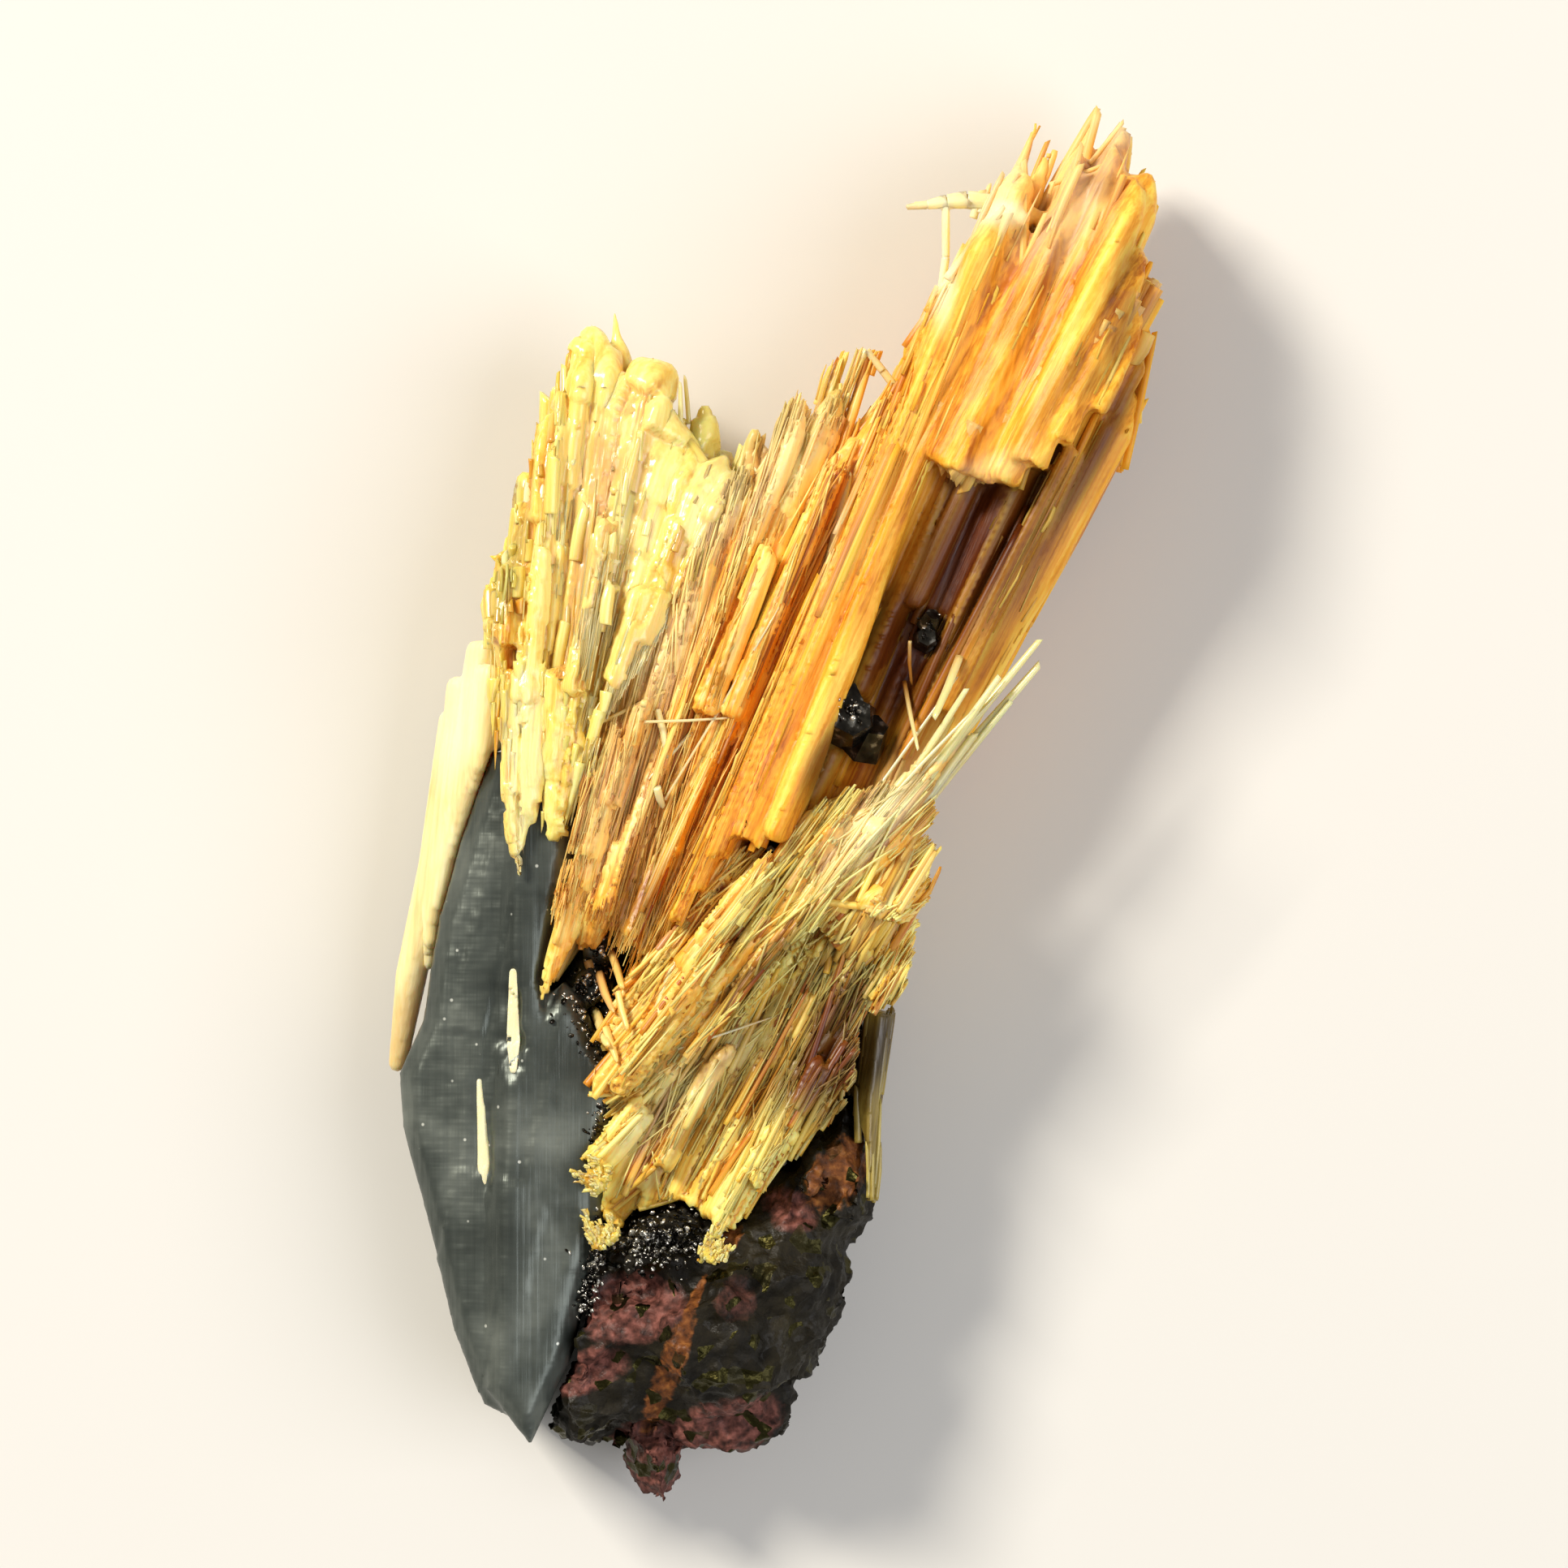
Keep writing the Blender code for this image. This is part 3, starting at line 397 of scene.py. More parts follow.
PALER = (
    (-4.0, 7.2, 4.2, 1.5, 80, 0.3), (-2.8, 3.6, 2.2, 0.8, 60, 0.4), (-1.6, 6.9, 1.0, 0.4, 60, 0.4),
    (5.6, 15.4, 1.6, 0.6, 60, 0.6), (8.4, 16.8, 0.8, 0.7, 60, 0.55), (4.9, 14.7, 1.8, 0.45, -6, 1.0),
    (4.35, 13.4, 1.6, 0.3, 84, 1.0), (5.3, 8.2, 1.2, 0.4, 20, 0.25), (2.6, -0.3, 2.2, 0.6, 48, 0.55),
    (-0.2, 8.4, 2.6, 1.2, 45, 0.45), (7.4, 15.2, 2.2, 1.1, 62, 0.4), (-3.6, 0.0, 1.8, 1.0, 65, 0.25),
    (-1.4, -6.6, 1.6, 0.4, 45, 0.4), (-3.2, -8.0, 0.8, 0.4, 50, 0.4),
    (-7.6, 2.4, 2.0, 0.6, 75, 0.5), (1.7, 7.0, 1.4, 0.12, 76, 0.5), (-2.2, -7.0, 1.4, 0.7, 48, 0.35),
    (-6.0, 1.0, 2.6, 0.5, 88, 0.5),
)
GREENED = (
    (-6.4, 5.8, 1.6, 0.3, 75, 0.6), (-1.4, 9.2, 1.6, 0.5, -55, 0.5), (-0.2, 9.6, 1.6, 0.6, 45, 0.4),
    (1.7, 10.4, 0.8, 0.5, 0, 0.4), (-1.0, 7.6, 2.0, 0.4, 62, 0.2),
)
# The spray of needles that stands high over the recess, and the recess below it with its painted shade
SPRAYED = ((5.6, 3.0, 2.2, 1.1, 45, 0.85),)
RECESS_PAINTED_SHADE = ((5.2, 6.6, 4.2, 1.7, 61, 1.0), (3.3, 3.9, 2.6, 1.6, 61, 1.0))
SPRAY_LEVEL = 5.5
RECESS_TOP = 5.9
RECESS_FOOT = 3.4
RECESS_FADE = 0.5
SPRAY_FADE = 0.3
SPRAY_GREEN = 0.3

# How much the crystals' own shades show in the recess, and the least painted shade that it gets
RECESS_SHADE = 0.3
RECESS_LEAST = 0.65


# Where thin free needles stand, which keep their own clean form
STILL = (
    (5.4, 2.9, 2.7, 1.4, 50, 1.0), (4.9, 14.85, 2.3, 0.4, -8, 1.0), (4.3, 13.4, 1.9, 0.35, 84, 1.0),
    (2.4, 10.9, 0.9, 0.7, 0, 1.0), (6.5, 16.3, 0.9, 0.4, 70, 1.0), (7.95, 16.8, 0.7, 0.35, 65, 1.0),
    (-3.85, 12.0, 0.8, 0.3, 90, 1.0),
)


def set_value(mesh, name, values):
    mesh.attributes.new(name, "FLOAT", "POINT").data.foreach_set("value", values.astype(np.float32))


def shade_rutile(mesh, places, grain, tone, pale=0.0):
    """Gives a mesh the attributes that the rutile materials read."""
    height = places[:, 2]
    sunk = np.clip((RECESS_TOP - height) / RECESS_FADE, 0, 1) * np.clip(height - RECESS_FOOT, 0, 1)
    # The recess under the ledge is darkened with painted shade, which goes out with the real stains
    painted_recess_shade = sunk * blots(places, RECESS_PAINTED_SHADE) * np.clip(1.0 - RECESS_SHADE * tone, RECESS_LEAST, 1.0)
    spray = np.clip((height - SPRAY_LEVEL) / SPRAY_FADE, 0, 1) * blots(places, SPRAYED)
    mesh.attributes.new("grain", "FLOAT_VECTOR", "POINT").data.foreach_set("vector", (grain * MM).ravel())
    set_value(mesh, "tone", tone)
    set_value(mesh, "stain_and_shade", np.maximum(blots(places, STAINS_AND_SHADE), painted_recess_shade))
    set_value(mesh, "pale", np.maximum.reduce((blots(places, PALER), spray, pale + 0 * tone)))
    set_value(mesh, "olive", np.maximum(blots(places, GREENED), SPRAY_GREEN * spray))


def finish(thing, coat, *nodes):
    """Gives a piece its material, lets it ride on the root and replaces these nodes by it."""
    material, slot = coat
    thing.data.materials.append(material)
    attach(thing, "root")
    if nodes:
        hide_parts(*nodes)


# How far one crystal's striations lie from the next one's, and the share of its length where its tip begins
GRAIN_SHIFT = np.array((37.0, 11.0, 53.0))
TIP_SHARE = 0.99


def lay(name, pattern, crystals, coat):
    """One mesh of a copy of the pattern for each crystal, with the attributes that its material reads."""
    corners, faces = pattern
    t = corners[:, 2][None, :, None]
    each = {key: value[:, None, None] for key, value in crystals.items() if value.ndim == 1}
    foot, tip = crystals["foot"][:, None, :], crystals["tip"][:, None, :]
    length = np.linalg.norm(tip - foot, axis=-1, keepdims=True)
    way = unit(tip - foot)
    across = unit(np.cross(way, np.array((0.0, 0.0, 1.0))) + 1e-6)
    out = np.cross(across, way)
    roll = each["roll"]
    across, out = across * np.cos(roll) + out * np.sin(roll), out * np.cos(roll) - across * np.sin(roll)
    width = each["width"] * (1 + (each["flare"] - 1) * t)
    taper = 1 - (1 - each["blunt"]) * t ** each["point"]
    side = corners[:, 0][None, :, None] * width * taper
    up = corners[:, 1][None, :, None] * each["depth"] * taper
    slant = each["slant"] * side * (t > TIP_SHARE)
    bow = each["bow"] * 4 * t * (1 - t)
    places = foot + way * (t * length + slant) + across * (side + bow) + out * up
    places = places.reshape(-1, 3)
    places[:, 2] = np.maximum(places[:, 2], 0)

    size = len(corners)
    thing = mesh_of_copies(name, places, faces, len(foot), size)
    grain = np.concatenate(np.broadcast_arrays(side, up, t * length), axis=-1) + each["tone"] * GRAIN_SHIFT
    shade_rutile(thing.data, places, grain, *(np.repeat(crystals[key], size) for key in ("tone", "pale")))
    finish(thing, coat)
    return thing


def point_at(line, shares):
    """Points at these shares of a line's length."""
    line = np.array(line, float)
    marks = np.concatenate(([0], np.cumsum(np.linalg.norm(np.diff(line, axis=0), axis=1))))
    wanted = shares * marks[-1]
    return np.stack([np.interp(wanted, marks, line[:, k]) for k in range(2)], axis=1)


def line_length(line):
    return np.linalg.norm(np.diff(np.array(line, float), axis=0), axis=1).sum()


def longest_run(good):
    """First and last place of the longest run of True in a row."""
    best, start = (0, -1), None
    for k, value in enumerate(list(good) + [False]):
        if value and start is None:
            start = k
        if not value and start is not None:
            if k - 1 - start > best[1] - best[0]:
                best = (start, k - 1)
            start = None
    return best


def fan_lines(places, fan):
    """Each point's nearest line of a fan, its distance beside it, and the lines' shares, roots and ways."""
    shares = np.linspace(0, 1, FAN_LINES)
    roots, tips = point_at(fan[0], shares), point_at(fan[1], shares)
    way = unit(tips - roots)
    side = np.stack((-way[:, 1], way[:, 0]), axis=1)
    off = places[:, :2] @ side.T - (roots * side).sum(1)
    nearest = np.abs(off).argmin(1)
    return nearest, off[np.arange(len(places)), nearest], shares, roots, way


def fan_ways(places, fan):
    nearest, beside, shares, roots, way = fan_lines(places, fan)
    return way[nearest]


# What crystals are like where nothing else is said: their turn in degrees, how blunt their ends are and how
# late they narrow, their bend, their shade and how far shades differ, and how pale they are. Where they grow:
# the part across the fan, where they end at most, their layers from 0 on the back to 1 on the front, how far
# ends splinter and feet fray, and which set of bands shades them.
USUAL = {
    "roll": 14, "blunt": (0.3, 0.9), "point": 8.0, "bow": 0.02, "tone": 0.0, "mottle": 0.3, "pale": 0.0,
    "across": (0.0, 1.0), "limit": 1.03, "layers": (1.0, 1.0), "splinter": 0.0, "fray": 0.0, "bands": 0,
}
DEPTHS = (0.6, 1.2)
SLANT = 1.3
PALE_SPREAD = 0.08


def traits(feet, tips, width, dice, **more):
    """Crystals from feet to tips, each with its own random turn, end, bend and shade."""
    count = len(feet)
    usual = USUAL | more
    return {
        "foot": feet,
        "tip": tips,
        "width": width,
        "flare": np.ones(count),
        "depth": width * dice.uniform(*DEPTHS, count),
        "roll": np.radians(dice.normal(0, usual["roll"], count)),
        "blunt": dice.uniform(*usual["blunt"], count),
        "point": np.full(count, usual["point"]),
        "slant": dice.uniform(-SLANT, SLANT, count),
        "bow": dice.normal(0, usual["bow"], count),
        "tone": dice.normal(usual["tone"], usual["mottle"], count),
        "pale": np.clip(dice.normal(usual["pale"], PALE_SPREAD, count), 0, 1),
    }


def grow(relief, fan, count, seed, widths, lengths, starts, proud, wander, **more):
    """Crystals laid along a fan of directions on a node's surface.

    Each one runs from a share to a later share of the way from the fan's roots to its tips, and is cut short
    where the surface breaks off. widths are in millimetres, lengths and starts in shares of the way, proud is
    how far the crystals stand above the surface and wander how far they turn from the fan, in degrees.
    """
    usual = USUAL | more
    dice = np.random.default_rng(seed)
    roots, tips = fan
    share = (dice.permutation(count) + dice.random(count)) / count
    low, high = usual["across"]
    share = low + (high - low) * share
    root, tip = point_at(roots, share), point_at(tips, share)
    first = dice.uniform(*starts, count)
    last = np.minimum(first + dice.uniform(*lengths, count), usual["limit"])
    start, end = (root + (tip - root) * s[:, None] for s in (first, last))
    turn = np.radians(dice.normal(0, wander, count))
    centre, (x, y) = (start + end) / 2, (end - start).T / 2
    half = np.column_stack((x * np.cos(turn) - y * np.sin(turn), x * np.sin(turn) + y * np.cos(turn)))
    start, end = centre - half, centre + half
    layer = dice.uniform(*usual["layers"], count)

    t = np.linspace(0, 1, STATIONS)
    x = start[:, :1] + (end - start)[:, :1] * t
    y = start[:, 1:] + (end - start)[:, 1:] * t
    back, front = heights_at(relief, x, y)
    z = back + (front - back) * layer[:, None]
    solid = ~np.isnan(z)
    joined = np.concatenate((solid[:, :1], solid[:, 1:] & ~(np.abs(np.diff(z, axis=1)) > BREAK)), axis=1)
    runs = np.array([longest_run(row) for row in joined & solid])
    weight = (np.arange(STATIONS) >= runs[:, :1]) & (np.arange(STATIONS) <= runs[:, 1:])
    kept = (runs[:, 1] - runs[:, 0]) >= 2
    total = np.maximum(weight.sum(1), 1)
    z = np.where(weight, z, 0)
    mean_t, mean_z = (weight * t).sum(1) / total, z.sum(1) / total
    spread = (weight * (t - mean_t[:, None]) ** 2).sum(1) + 1e-9
    slope = (weight * (t - mean_t[:, None]) * (z - mean_z[:, None])).sum(1) / spread
    t0, t1 = t[np.maximum(runs[:, 0], 0)], t[np.maximum(runs[:, 1], 0)]
    t1 = t1 + usual["splinter"] * dice.random(count) * (t1 < 1)
    t0 = t0 - usual["fray"] * dice.random(count)

    width = dice.uniform(*widths, count)
    bands = np.random.default_rng(usual["bands"]).normal(0, BAND_SHADE, (3, BANDS))
    third = np.clip((first * 3).astype(int), 0, 2)
    band = bands[third, np.clip((share * BANDS).astype(int), 0, BANDS - 1)]
    lift = np.where(layer > 0.5, 1, -1) * dice.uniform(*proud, count)
    sink = np.where(layer > 0.99, -0.5, np.where(layer < 0.01, 0.5, 0)) * FLATNESS * width
    spans = [line_length(roots) + (line_length(tips) - line_length(roots)) * s for s in (first, last)]
    foot, head = (
        np.column_stack((start + (end - start) * s[:, None], mean_z + slope * (s - mean_t) + lift + sink))
        for s in (t0, t1)
    )
    kept &= np.linalg.norm(head - foot, axis=1) > SHORTEST
    crystals = traits(foot, head, width * spans[0] / line_length(tips), dice, **more)
    crystals["flare"] = spans[1] / spans[0]
    crystals["tone"] = np.clip(crystals["tone"] + band, -SHADE_LIMIT, SHADE_LIMIT)
    return {key: value[kept] for key, value in crystals.items()}


def wall_growth(node, fan, count, seed, widths, reach, **more):
    """Crystals laid along the steep walls of a node, each cut short where its wall ends."""
    mesh = NODES[node].data
    corners = np.array([v.co for v in mesh.vertices]) / MM
    faces = np.array([p.vertices for p in mesh.polygons])
    tree = BVHTree.FromPolygons(corners.tolist(), faces.tolist())
    a, b, c = (corners[faces[:, k]] for k in range(3))
    normals = np.cross(b - a, c - a)
    area = np.linalg.norm(normals, axis=1)
    normals = unit(normals)
    steep = area * (np.abs(normals[:, 2]) < STEEP)
    dice = np.random.default_rng(seed)
    pick = dice.choice(len(faces), count, p=steep / steep.sum())
    u, v = dice.random((2, count, 1))
    u, v = np.where(u + v > 1, 1 - u, u), np.where(u + v > 1, 1 - v, v)
    middles = a[pick] + u * (b - a)[pick] + v * (c - a)[pick]
    normals = normals[pick]
    way = np.column_stack((fan_ways(middles, fan), np.zeros(count)))
    way -= normals * (way * normals).sum(1, keepdims=True)
    clear = np.linalg.norm(way, axis=1) > STEEP
    ends = []
    for turn in (-1, 1):
        wanted = dice.uniform(*reach, count) / 2
        run = np.zeros(count)
        for k in range(count):
            while run[k] < wanted[k]:
                spot = middles[k] + turn * way[k] * (run[k] + STRIDE)
                if tree.find_nearest(Vector(spot))[3] > STRIDE:
                    break
                run[k] += STRIDE
        ends.append(middles + turn * way * run[:, None])
    out = normals * dice.uniform(-WALL_OFFSET, WALL_OFFSET, (count, 1))
    clear &= np.linalg.norm(ends[1] - ends[0], axis=1) > SHORTEST
    crystals = traits(ends[0] + out, ends[1] + out, dice.uniform(*widths, count), dice, **more)
    return {key: value[clear] for key, value in crystals.items()}


def together(*groups):
    return {key: np.concatenate([g[key] for g in groups]) for key in groups[0]}


def growth_on(node, fan):
    """grow and wall_growth for one node and its fan."""
    return partial(grow, RELIEFS[node], fan), partial(wall_growth, node, fan)


RELIEFS = {name: survey(name) for name in NODES}

LEFT_FAN = (
    ((-6.9, 2.4), (-5.8, 1.2), (-4.2, -0.6)),
    (
        (-6.9, 5.2), (-6.2, 7.5), (-5.6, 9.6), (-4.9, 11.3), (-4.0, 11.9), (-3.0, 11.0), (-2.0, 10.0),
        (-0.7, 8.2),
    ),
)
LEFT_DOWN = LEFT_FAN[::-1]
MIDDLE_FAN = (
    ((-5.6, -2.6), (-4.4, -2.4), (-2.9, -3.8)),
    ((-4.4, 2.5), (-2.6, 5.4), (-1.0, 8.4), (0.6, 10.0), (1.8, 10.9), (3.4, 10.8)),
)
LONG_FAN = (
    ((-3.0, -3.8), (-1.0, -1.2), (1.2, -0.3), (4.4, 0.9)),
    ((3.3, 10.5), (4.2, 13.0), (5.6, 15.6), (7.0, 16.6), (8.3, 17.2), (9.4, 16.4), (9.3, 10.1)),
)
LOWER_FAN = (
    ((-3.0, -4.0), (-4.0, -5.6), (-4.0, -7.2), (-2.4, -6.6), (-1.0, -5.2), (2.0, -3.1)),
    ((-0.9, -0.8), (0.8, 0.0), (2.6, 0.7), (3.8, 0.6), (4.0, -1.0), (3.8, -2.6)),
)
TANGLED_FAN = (
    ((-4.0, -7.2), (-4.4, -9.0), (-3.7, -9.8), (-1.4, -10.8), (0.0, -9.0), (1.8, -7.4)),
    ((-1.8, -5.8), (-0.6, -4.2), (0.8, -2.8), (3.4, -2.5), (3.4, -4.2), (2.4, -6.6)),
)


# Fused masses: a CAD node's own form, finely remeshed and worked along its fibres


def copy_node(node, name):
    """A copy of a CAD node's mesh with its loose triangles joined up."""
    thing = bpy.data.objects.new(name, NODES[node].data.copy())
    bpy.context.scene.collection.objects.link(thing)
    bm = bmesh.new()
    bm.from_mesh(thing.data)
    bmesh.ops.remove_doubles(bm, verts=bm.verts, dist=GLUE)
    bm.to_mesh(thing.data)
    bm.free()
    thing.data.materials.clear()
    return thing


def apply_step(thing, kind, **settings):
    """Adds a modifier with these settings and applies it."""
    step = thing.modifiers.new(kind.lower(), kind)
    for key, value in settings.items():
        setattr(step, key, value)
    bpy.ops.object.select_all(action="DESELECT")
    thing.select_set(True)
    bpy.context.view_layer.objects.active = thing
    bpy.ops.object.modifier_apply(modifier=step.name)


def places_of(thing):
    flat = np.zeros(len(thing.data.vertices) * 3, np.float32)
    thing.data.vertices.foreach_get("co", flat)
    return flat.reshape(-1, 3) / MM


def push(thing, amounts):
    """Moves each point along its normal by its own amount in millimetres, never below the floor."""
    normals = np.zeros(len(thing.data.vertices) * 3, np.float32)
    thing.data.vertex_normals.foreach_get("vector", normals)
    places = places_of(thing) + normals.reshape(-1, 3) * np.reshape(amounts, (-1, 1))
    places[:, 2] = np.maximum(places[:, 2], 0)
    thing.data.vertices.foreach_set("co", (places * MM).ravel())
    thing.data.update()


def fine_copy(node, name, voxel, swell=0.0, smooth=0):
    """A copy of a node in small even faces, swollen a little towards its neighbours; sizes in millimetres."""
    thing = copy_node(node, name)
    apply_step(thing, "REMESH", mode="VOXEL", voxel_size=voxel * MM, use_smooth_shade=True)
    if smooth:
        apply_step(thing, "SMOOTH", iterations=smooth)
    push(thing, swell)
    return thing


def rough_up(thing, size, strength, **settings):
    """Pushes a fine mesh in and out by clouds of this size; size and strength are in millimetres."""
    texture = bpy.data.textures.new(f"{thing.name} clouds {size}", "CLOUDS")
    texture.noise_scale = size * MM
    for key, value in settings.items():
        setattr(texture, key, value)
    apply_step(thing, "DISPLACE", texture=texture, strength=strength * MM, texture_coords="LOCAL")
    push(thing, 0.0)


def fan_places(places, fan):
    """Each point's way along and across a fan, in millimetres, with its height mixed in across."""
    nearest, beside, shares, roots, way = fan_lines(places, fan)
    along = ((places[:, :2] - roots[nearest]) * way[nearest]).sum(1)
    wide = (line_length(fan[0]) + line_length(fan[1])) / 2
    return along, shares[nearest] * wide - beside + HEIGHT_ACROSS * places[:, 2]


def ease(values):
    return values * values * (3 - 2 * values)


def streaks(along, across, seed, sharp):
    """Random ridges from -1 to 1 in unit lanes; sharp ones have stepped sides and broken ends."""
    dice = np.random.default_rng(seed)
    table = dice.uniform(-1, 1, (LANES, LANES))
    shift = dice.uniform(0, LANES, LANES)
    across = across + sum(size * np.sin(rate * across) for size, rate in LANE_WAVES)
    lane = np.floor(across)
    beside = np.zeros(len(across)) if sharp else ease(across - lane)
    total = np.zeros(len(across))
    for step, weight in ((0, 1 - beside), (1, beside)):
        row = (lane + step).astype(int) % LANES
        place = along + shift[row]
        cell = np.floor(place)
        part = np.zeros(len(across)) if sharp else ease(place - cell)
        column = cell.astype(int) % LANES
        total += weight * (table[row, column] * (1 - part) + table[row, (column + 1) % LANES] * part)
    return total


# A fused mass is swollen a little towards its neighbours. Painted light and shade follow its ridges, lighter on
# crests and darker in grooves, and its shade also changes by these rows: (weight, length, width, what is added
# to the seed, sharp)
SWELL = 0.05
MOTTLES = ((0.5, 8, 0.45, 11, False), (0.3, 5, 0.16, 12, True))
RIDGE_PAINTED_LIGHT = 0.6


def fuse(node, name, fan, coat, voxel, ridges, seed, tone=0.0, soften=0):
    """A sheaf's crystals grown together: ridges are (length, width, height, sharp) along the fan."""
    thing = fine_copy(node, name, voxel)
    free = 1 - blots(places_of(thing), STILL)
    push(thing, SWELL * free)
    along, across = fan_places(places_of(thing), fan)
    shade = np.full(len(along), tone)
    for k, (length, width, height, sharp) in enumerate(ridges):
        amount = free * height * streaks(along / length, across / width, seed + k, sharp)
        push(thing, amount)
        # Painted light and shade: crests lighter, grooves darker
        shade += RIDGE_PAINTED_LIGHT * amount / sum(row[2] for row in ridges)
        if soften and sharp:
            apply_step(thing, "SMOOTH", iterations=soften)
    places = places_of(thing)
    for weight, length, width, more, sharp in MOTTLES:
        shade += weight * streaks(along / length, across / width, seed + more, sharp)
    shade_rutile(thing.data, places, np.column_stack((across, places[:, 2], along)), shade)
    thing.data.shade_smooth()
    finish(thing, coat, node)


def dress_left():
    laid, walls = growth_on("left_sheaf", LEFT_FAN)
    down = growth_on("left_sheaf", LEFT_DOWN)[0]
    ridges = ((3.4, 1.0, 0.22, True), (1.4, 0.5, 0.09, True), (2.0, 0.15, 0.02, False))
    fuse("left_sheaf", "left_mass", LEFT_FAN, PALE, 0.08, ridges, 100, soften=1)
    columns = together(
        laid(12, 11, (0.4, 0.8), (0.1, 0.3), (0.3, 0.8), (0, 0.1), 1.2, blunt=(0.8, 1.0)),
        laid(30, 12, (0.3, 0.8), (0.2, 0.5), (0, 0.9), (0, 0.1), 1.5, layers=(0, 0)),
        walls(40, 17, (0.15, 0.4), (0.6, 2.0), roll=20, blunt=(0.5, 1.0)),
    )
    lay("left_columns", COLUMN, columns, PALE).data.shade_smooth()
    fingers = together(
        down(60, 18, (0.1, 0.26), (0.1, 0.3), (0.7, 1.1), (0, 0.08), 2, limit=1.35, blunt=(0, 0.1), point=2.0),
        laid(70, 14, (0.12, 0.35), (0.03, 0.09), (0.2, 0.95), (0, 0.15), 3, blunt=(0.8, 1.0)),
    )
    lay("left_fingers", LATH, fingers, PALE)
    needles = together(
        laid(60, 15, (0.05, 0.12), (0.05, 0.3), (0, 0.95), (0.0, 0.2), 3),
        laid(300, 16, (0.05, 0.1), (0.1, 0.35), (0, 0.4), (0.0, 0.03), 1.5, across=(0.5, 1.0), tone=0.2),
    )
    lay("left_needles", NEEDLE, needles, PALE)


def dress_middle():
    laid, walls = growth_on("middle_sheaf", MIDDLE_FAN)
    ridges = ((4.5, 0.5, 0.06, True), (3.5, 0.2, 0.045, True), (3.0, 0.12, 0.02, False))
    fuse("middle_sheaf", "middle_mass", MIDDLE_FAN, GOLDEN, 0.09, ridges, 200)
    laths = together(
        laid(110, 21, (0.1, 0.28), (0.4, 0.9), (0, 0.6), (0, 0.08), 0.5, roll=9, bands=1),
        laid(90, 22, (0.15, 0.4), (0.25, 0.8), (0, 0.8), (0, 0.15), 0.8, layers=(0, 0)),
        laid(120, 23, (0.12, 0.3), (0.1, 0.3), (0.65, 0.95), (0, 0), 2, layers=(0, 1)),
        laid(160, 27, (0.12, 0.3), (0.05, 0.2), (0, 0.05), (0, 0), 4, layers=(0, 1), fray=0.3),
        walls(240, 28, (0.08, 0.2), (1.5, 6.0)),
    )
    needles = together(
        laid(1500, 24, (0.05, 0.1), (0.3, 0.9), (0, 0.8), (0.02, 0.1), 0.7, splinter=0.04, bands=1),
        laid(260, 25, (0.04, 0.08), (0.06, 0.25), (0, 0.95), (0.05, 0.25), 6, tone=0.6),
        laid(500, 26, (0.05, 0.11), (0.08, 0.3), (0, 0.06), (0.0, 0.1), 4, fray=0.3),
    )
    lay("middle_laths", LATH, laths, GOLDEN)
    lay("middle_needles", NEEDLE, needles, GOLDEN)


# The broken edge of the long sheaf's upper layer and the way over it. Its splinters are spread and turned a
# little, reach from their feet behind it to their tips over it, and lie sunk in the surface behind it.
LEDGE = ((3.7, 8.9), (5.2, 8.3), (6.2, 9.6), (7.6, 10.8), (9.2, 11.9))
LEDGE_WAY = (-0.47, -0.88)
LEDGE_SPREAD = 0.15
LEDGE_TURN = 0.03
LEDGE_INSET = 0.9
LEDGE_FEET = (0.5, 1.6)
LEDGE_TIPS = (0.0, 0.55)
LEDGE_SINK = (0.1, 0.45)
LEDGE_DROP = 0.12
LEDGE_WIDTHS = (0.15, 0.5)


def ledge_splinters():
    dice = np.random.default_rng(36)
    count = 150
    edge = point_at(LEDGE, dice.random(count)) + dice.normal(0, LEDGE_SPREAD, (count, 2))
    way = unit(np.array(LEDGE_WAY) + dice.normal(0, LEDGE_TURN, (count, 2)))
    back, front = heights_at(RELIEFS["long_sheaf"], *(edge - LEDGE_INSET * way).T)
    feet = edge - way * dice.uniform(*LEDGE_FEET, (count, 1))
    tips = edge + way * dice.uniform(*LEDGE_TIPS, (count, 1))
    sink = dice.uniform(*LEDGE_SINK, count)
    feet = np.column_stack((feet, front - sink))
    tips = np.column_stack((tips, front - sink - LEDGE_DROP))
    width = dice.uniform(*LEDGE_WIDTHS, count)
    crystals = traits(feet, tips, width, dice, pale=0.2, blunt=(0.2, 0.8), tone=0.1)
    solid = ~np.isnan(front)
    return {key: value[solid] for key, value in crystals.items()}


def dress_long():
    laid, walls = growth_on("long_sheaf", LONG_FAN)
    ridges = ((7.0, 1.0, 0.1, False), (5.0, 0.45, 0.06, False), (3.0, 0.14, 0.025, False))
    fuse("long_sheaf", "long_mass", LONG_FAN, AMBER, 0.11, ridges, 300)
    laths = together(
        laid(40, 31, (0.12, 0.35), (0.3, 0.7), (0, 0.5), (0, 0.02), 0.4, roll=7, limit=0.9, mottle=0.2),
        laid(90, 32, (0.25, 0.6), (0.25, 0.8), (0, 0.8), (0, 0.1), 0.8, layers=(0, 0)),
        laid(40, 33, (0.12, 0.25), (0.1, 0.25), (0.75, 0.9), (0, 0), 1, layers=(0.1, 0.9), mottle=0.2),
        walls(300, 37, (0.1, 0.28), (2.0, 9.0), mottle=0.3),
        ledge_splinters(),
    )
    needles = together(
        laid(120, 34, (0.05, 0.1), (0.2, 0.7), (0, 0.4), (0.0, 0.02), 0.5, limit=0.85, tone=0.3),
        laid(90, 35, (0.06, 0.14), (0.04, 0.12), (0.3, 0.9), (0, 0.08), 3, splinter=0.4, tone=0.3),
    )
    lay("long_laths", LATH, laths, AMBER).data.shade_smooth()
    lay("long_needles", NEEDLE, needles, AMBER)


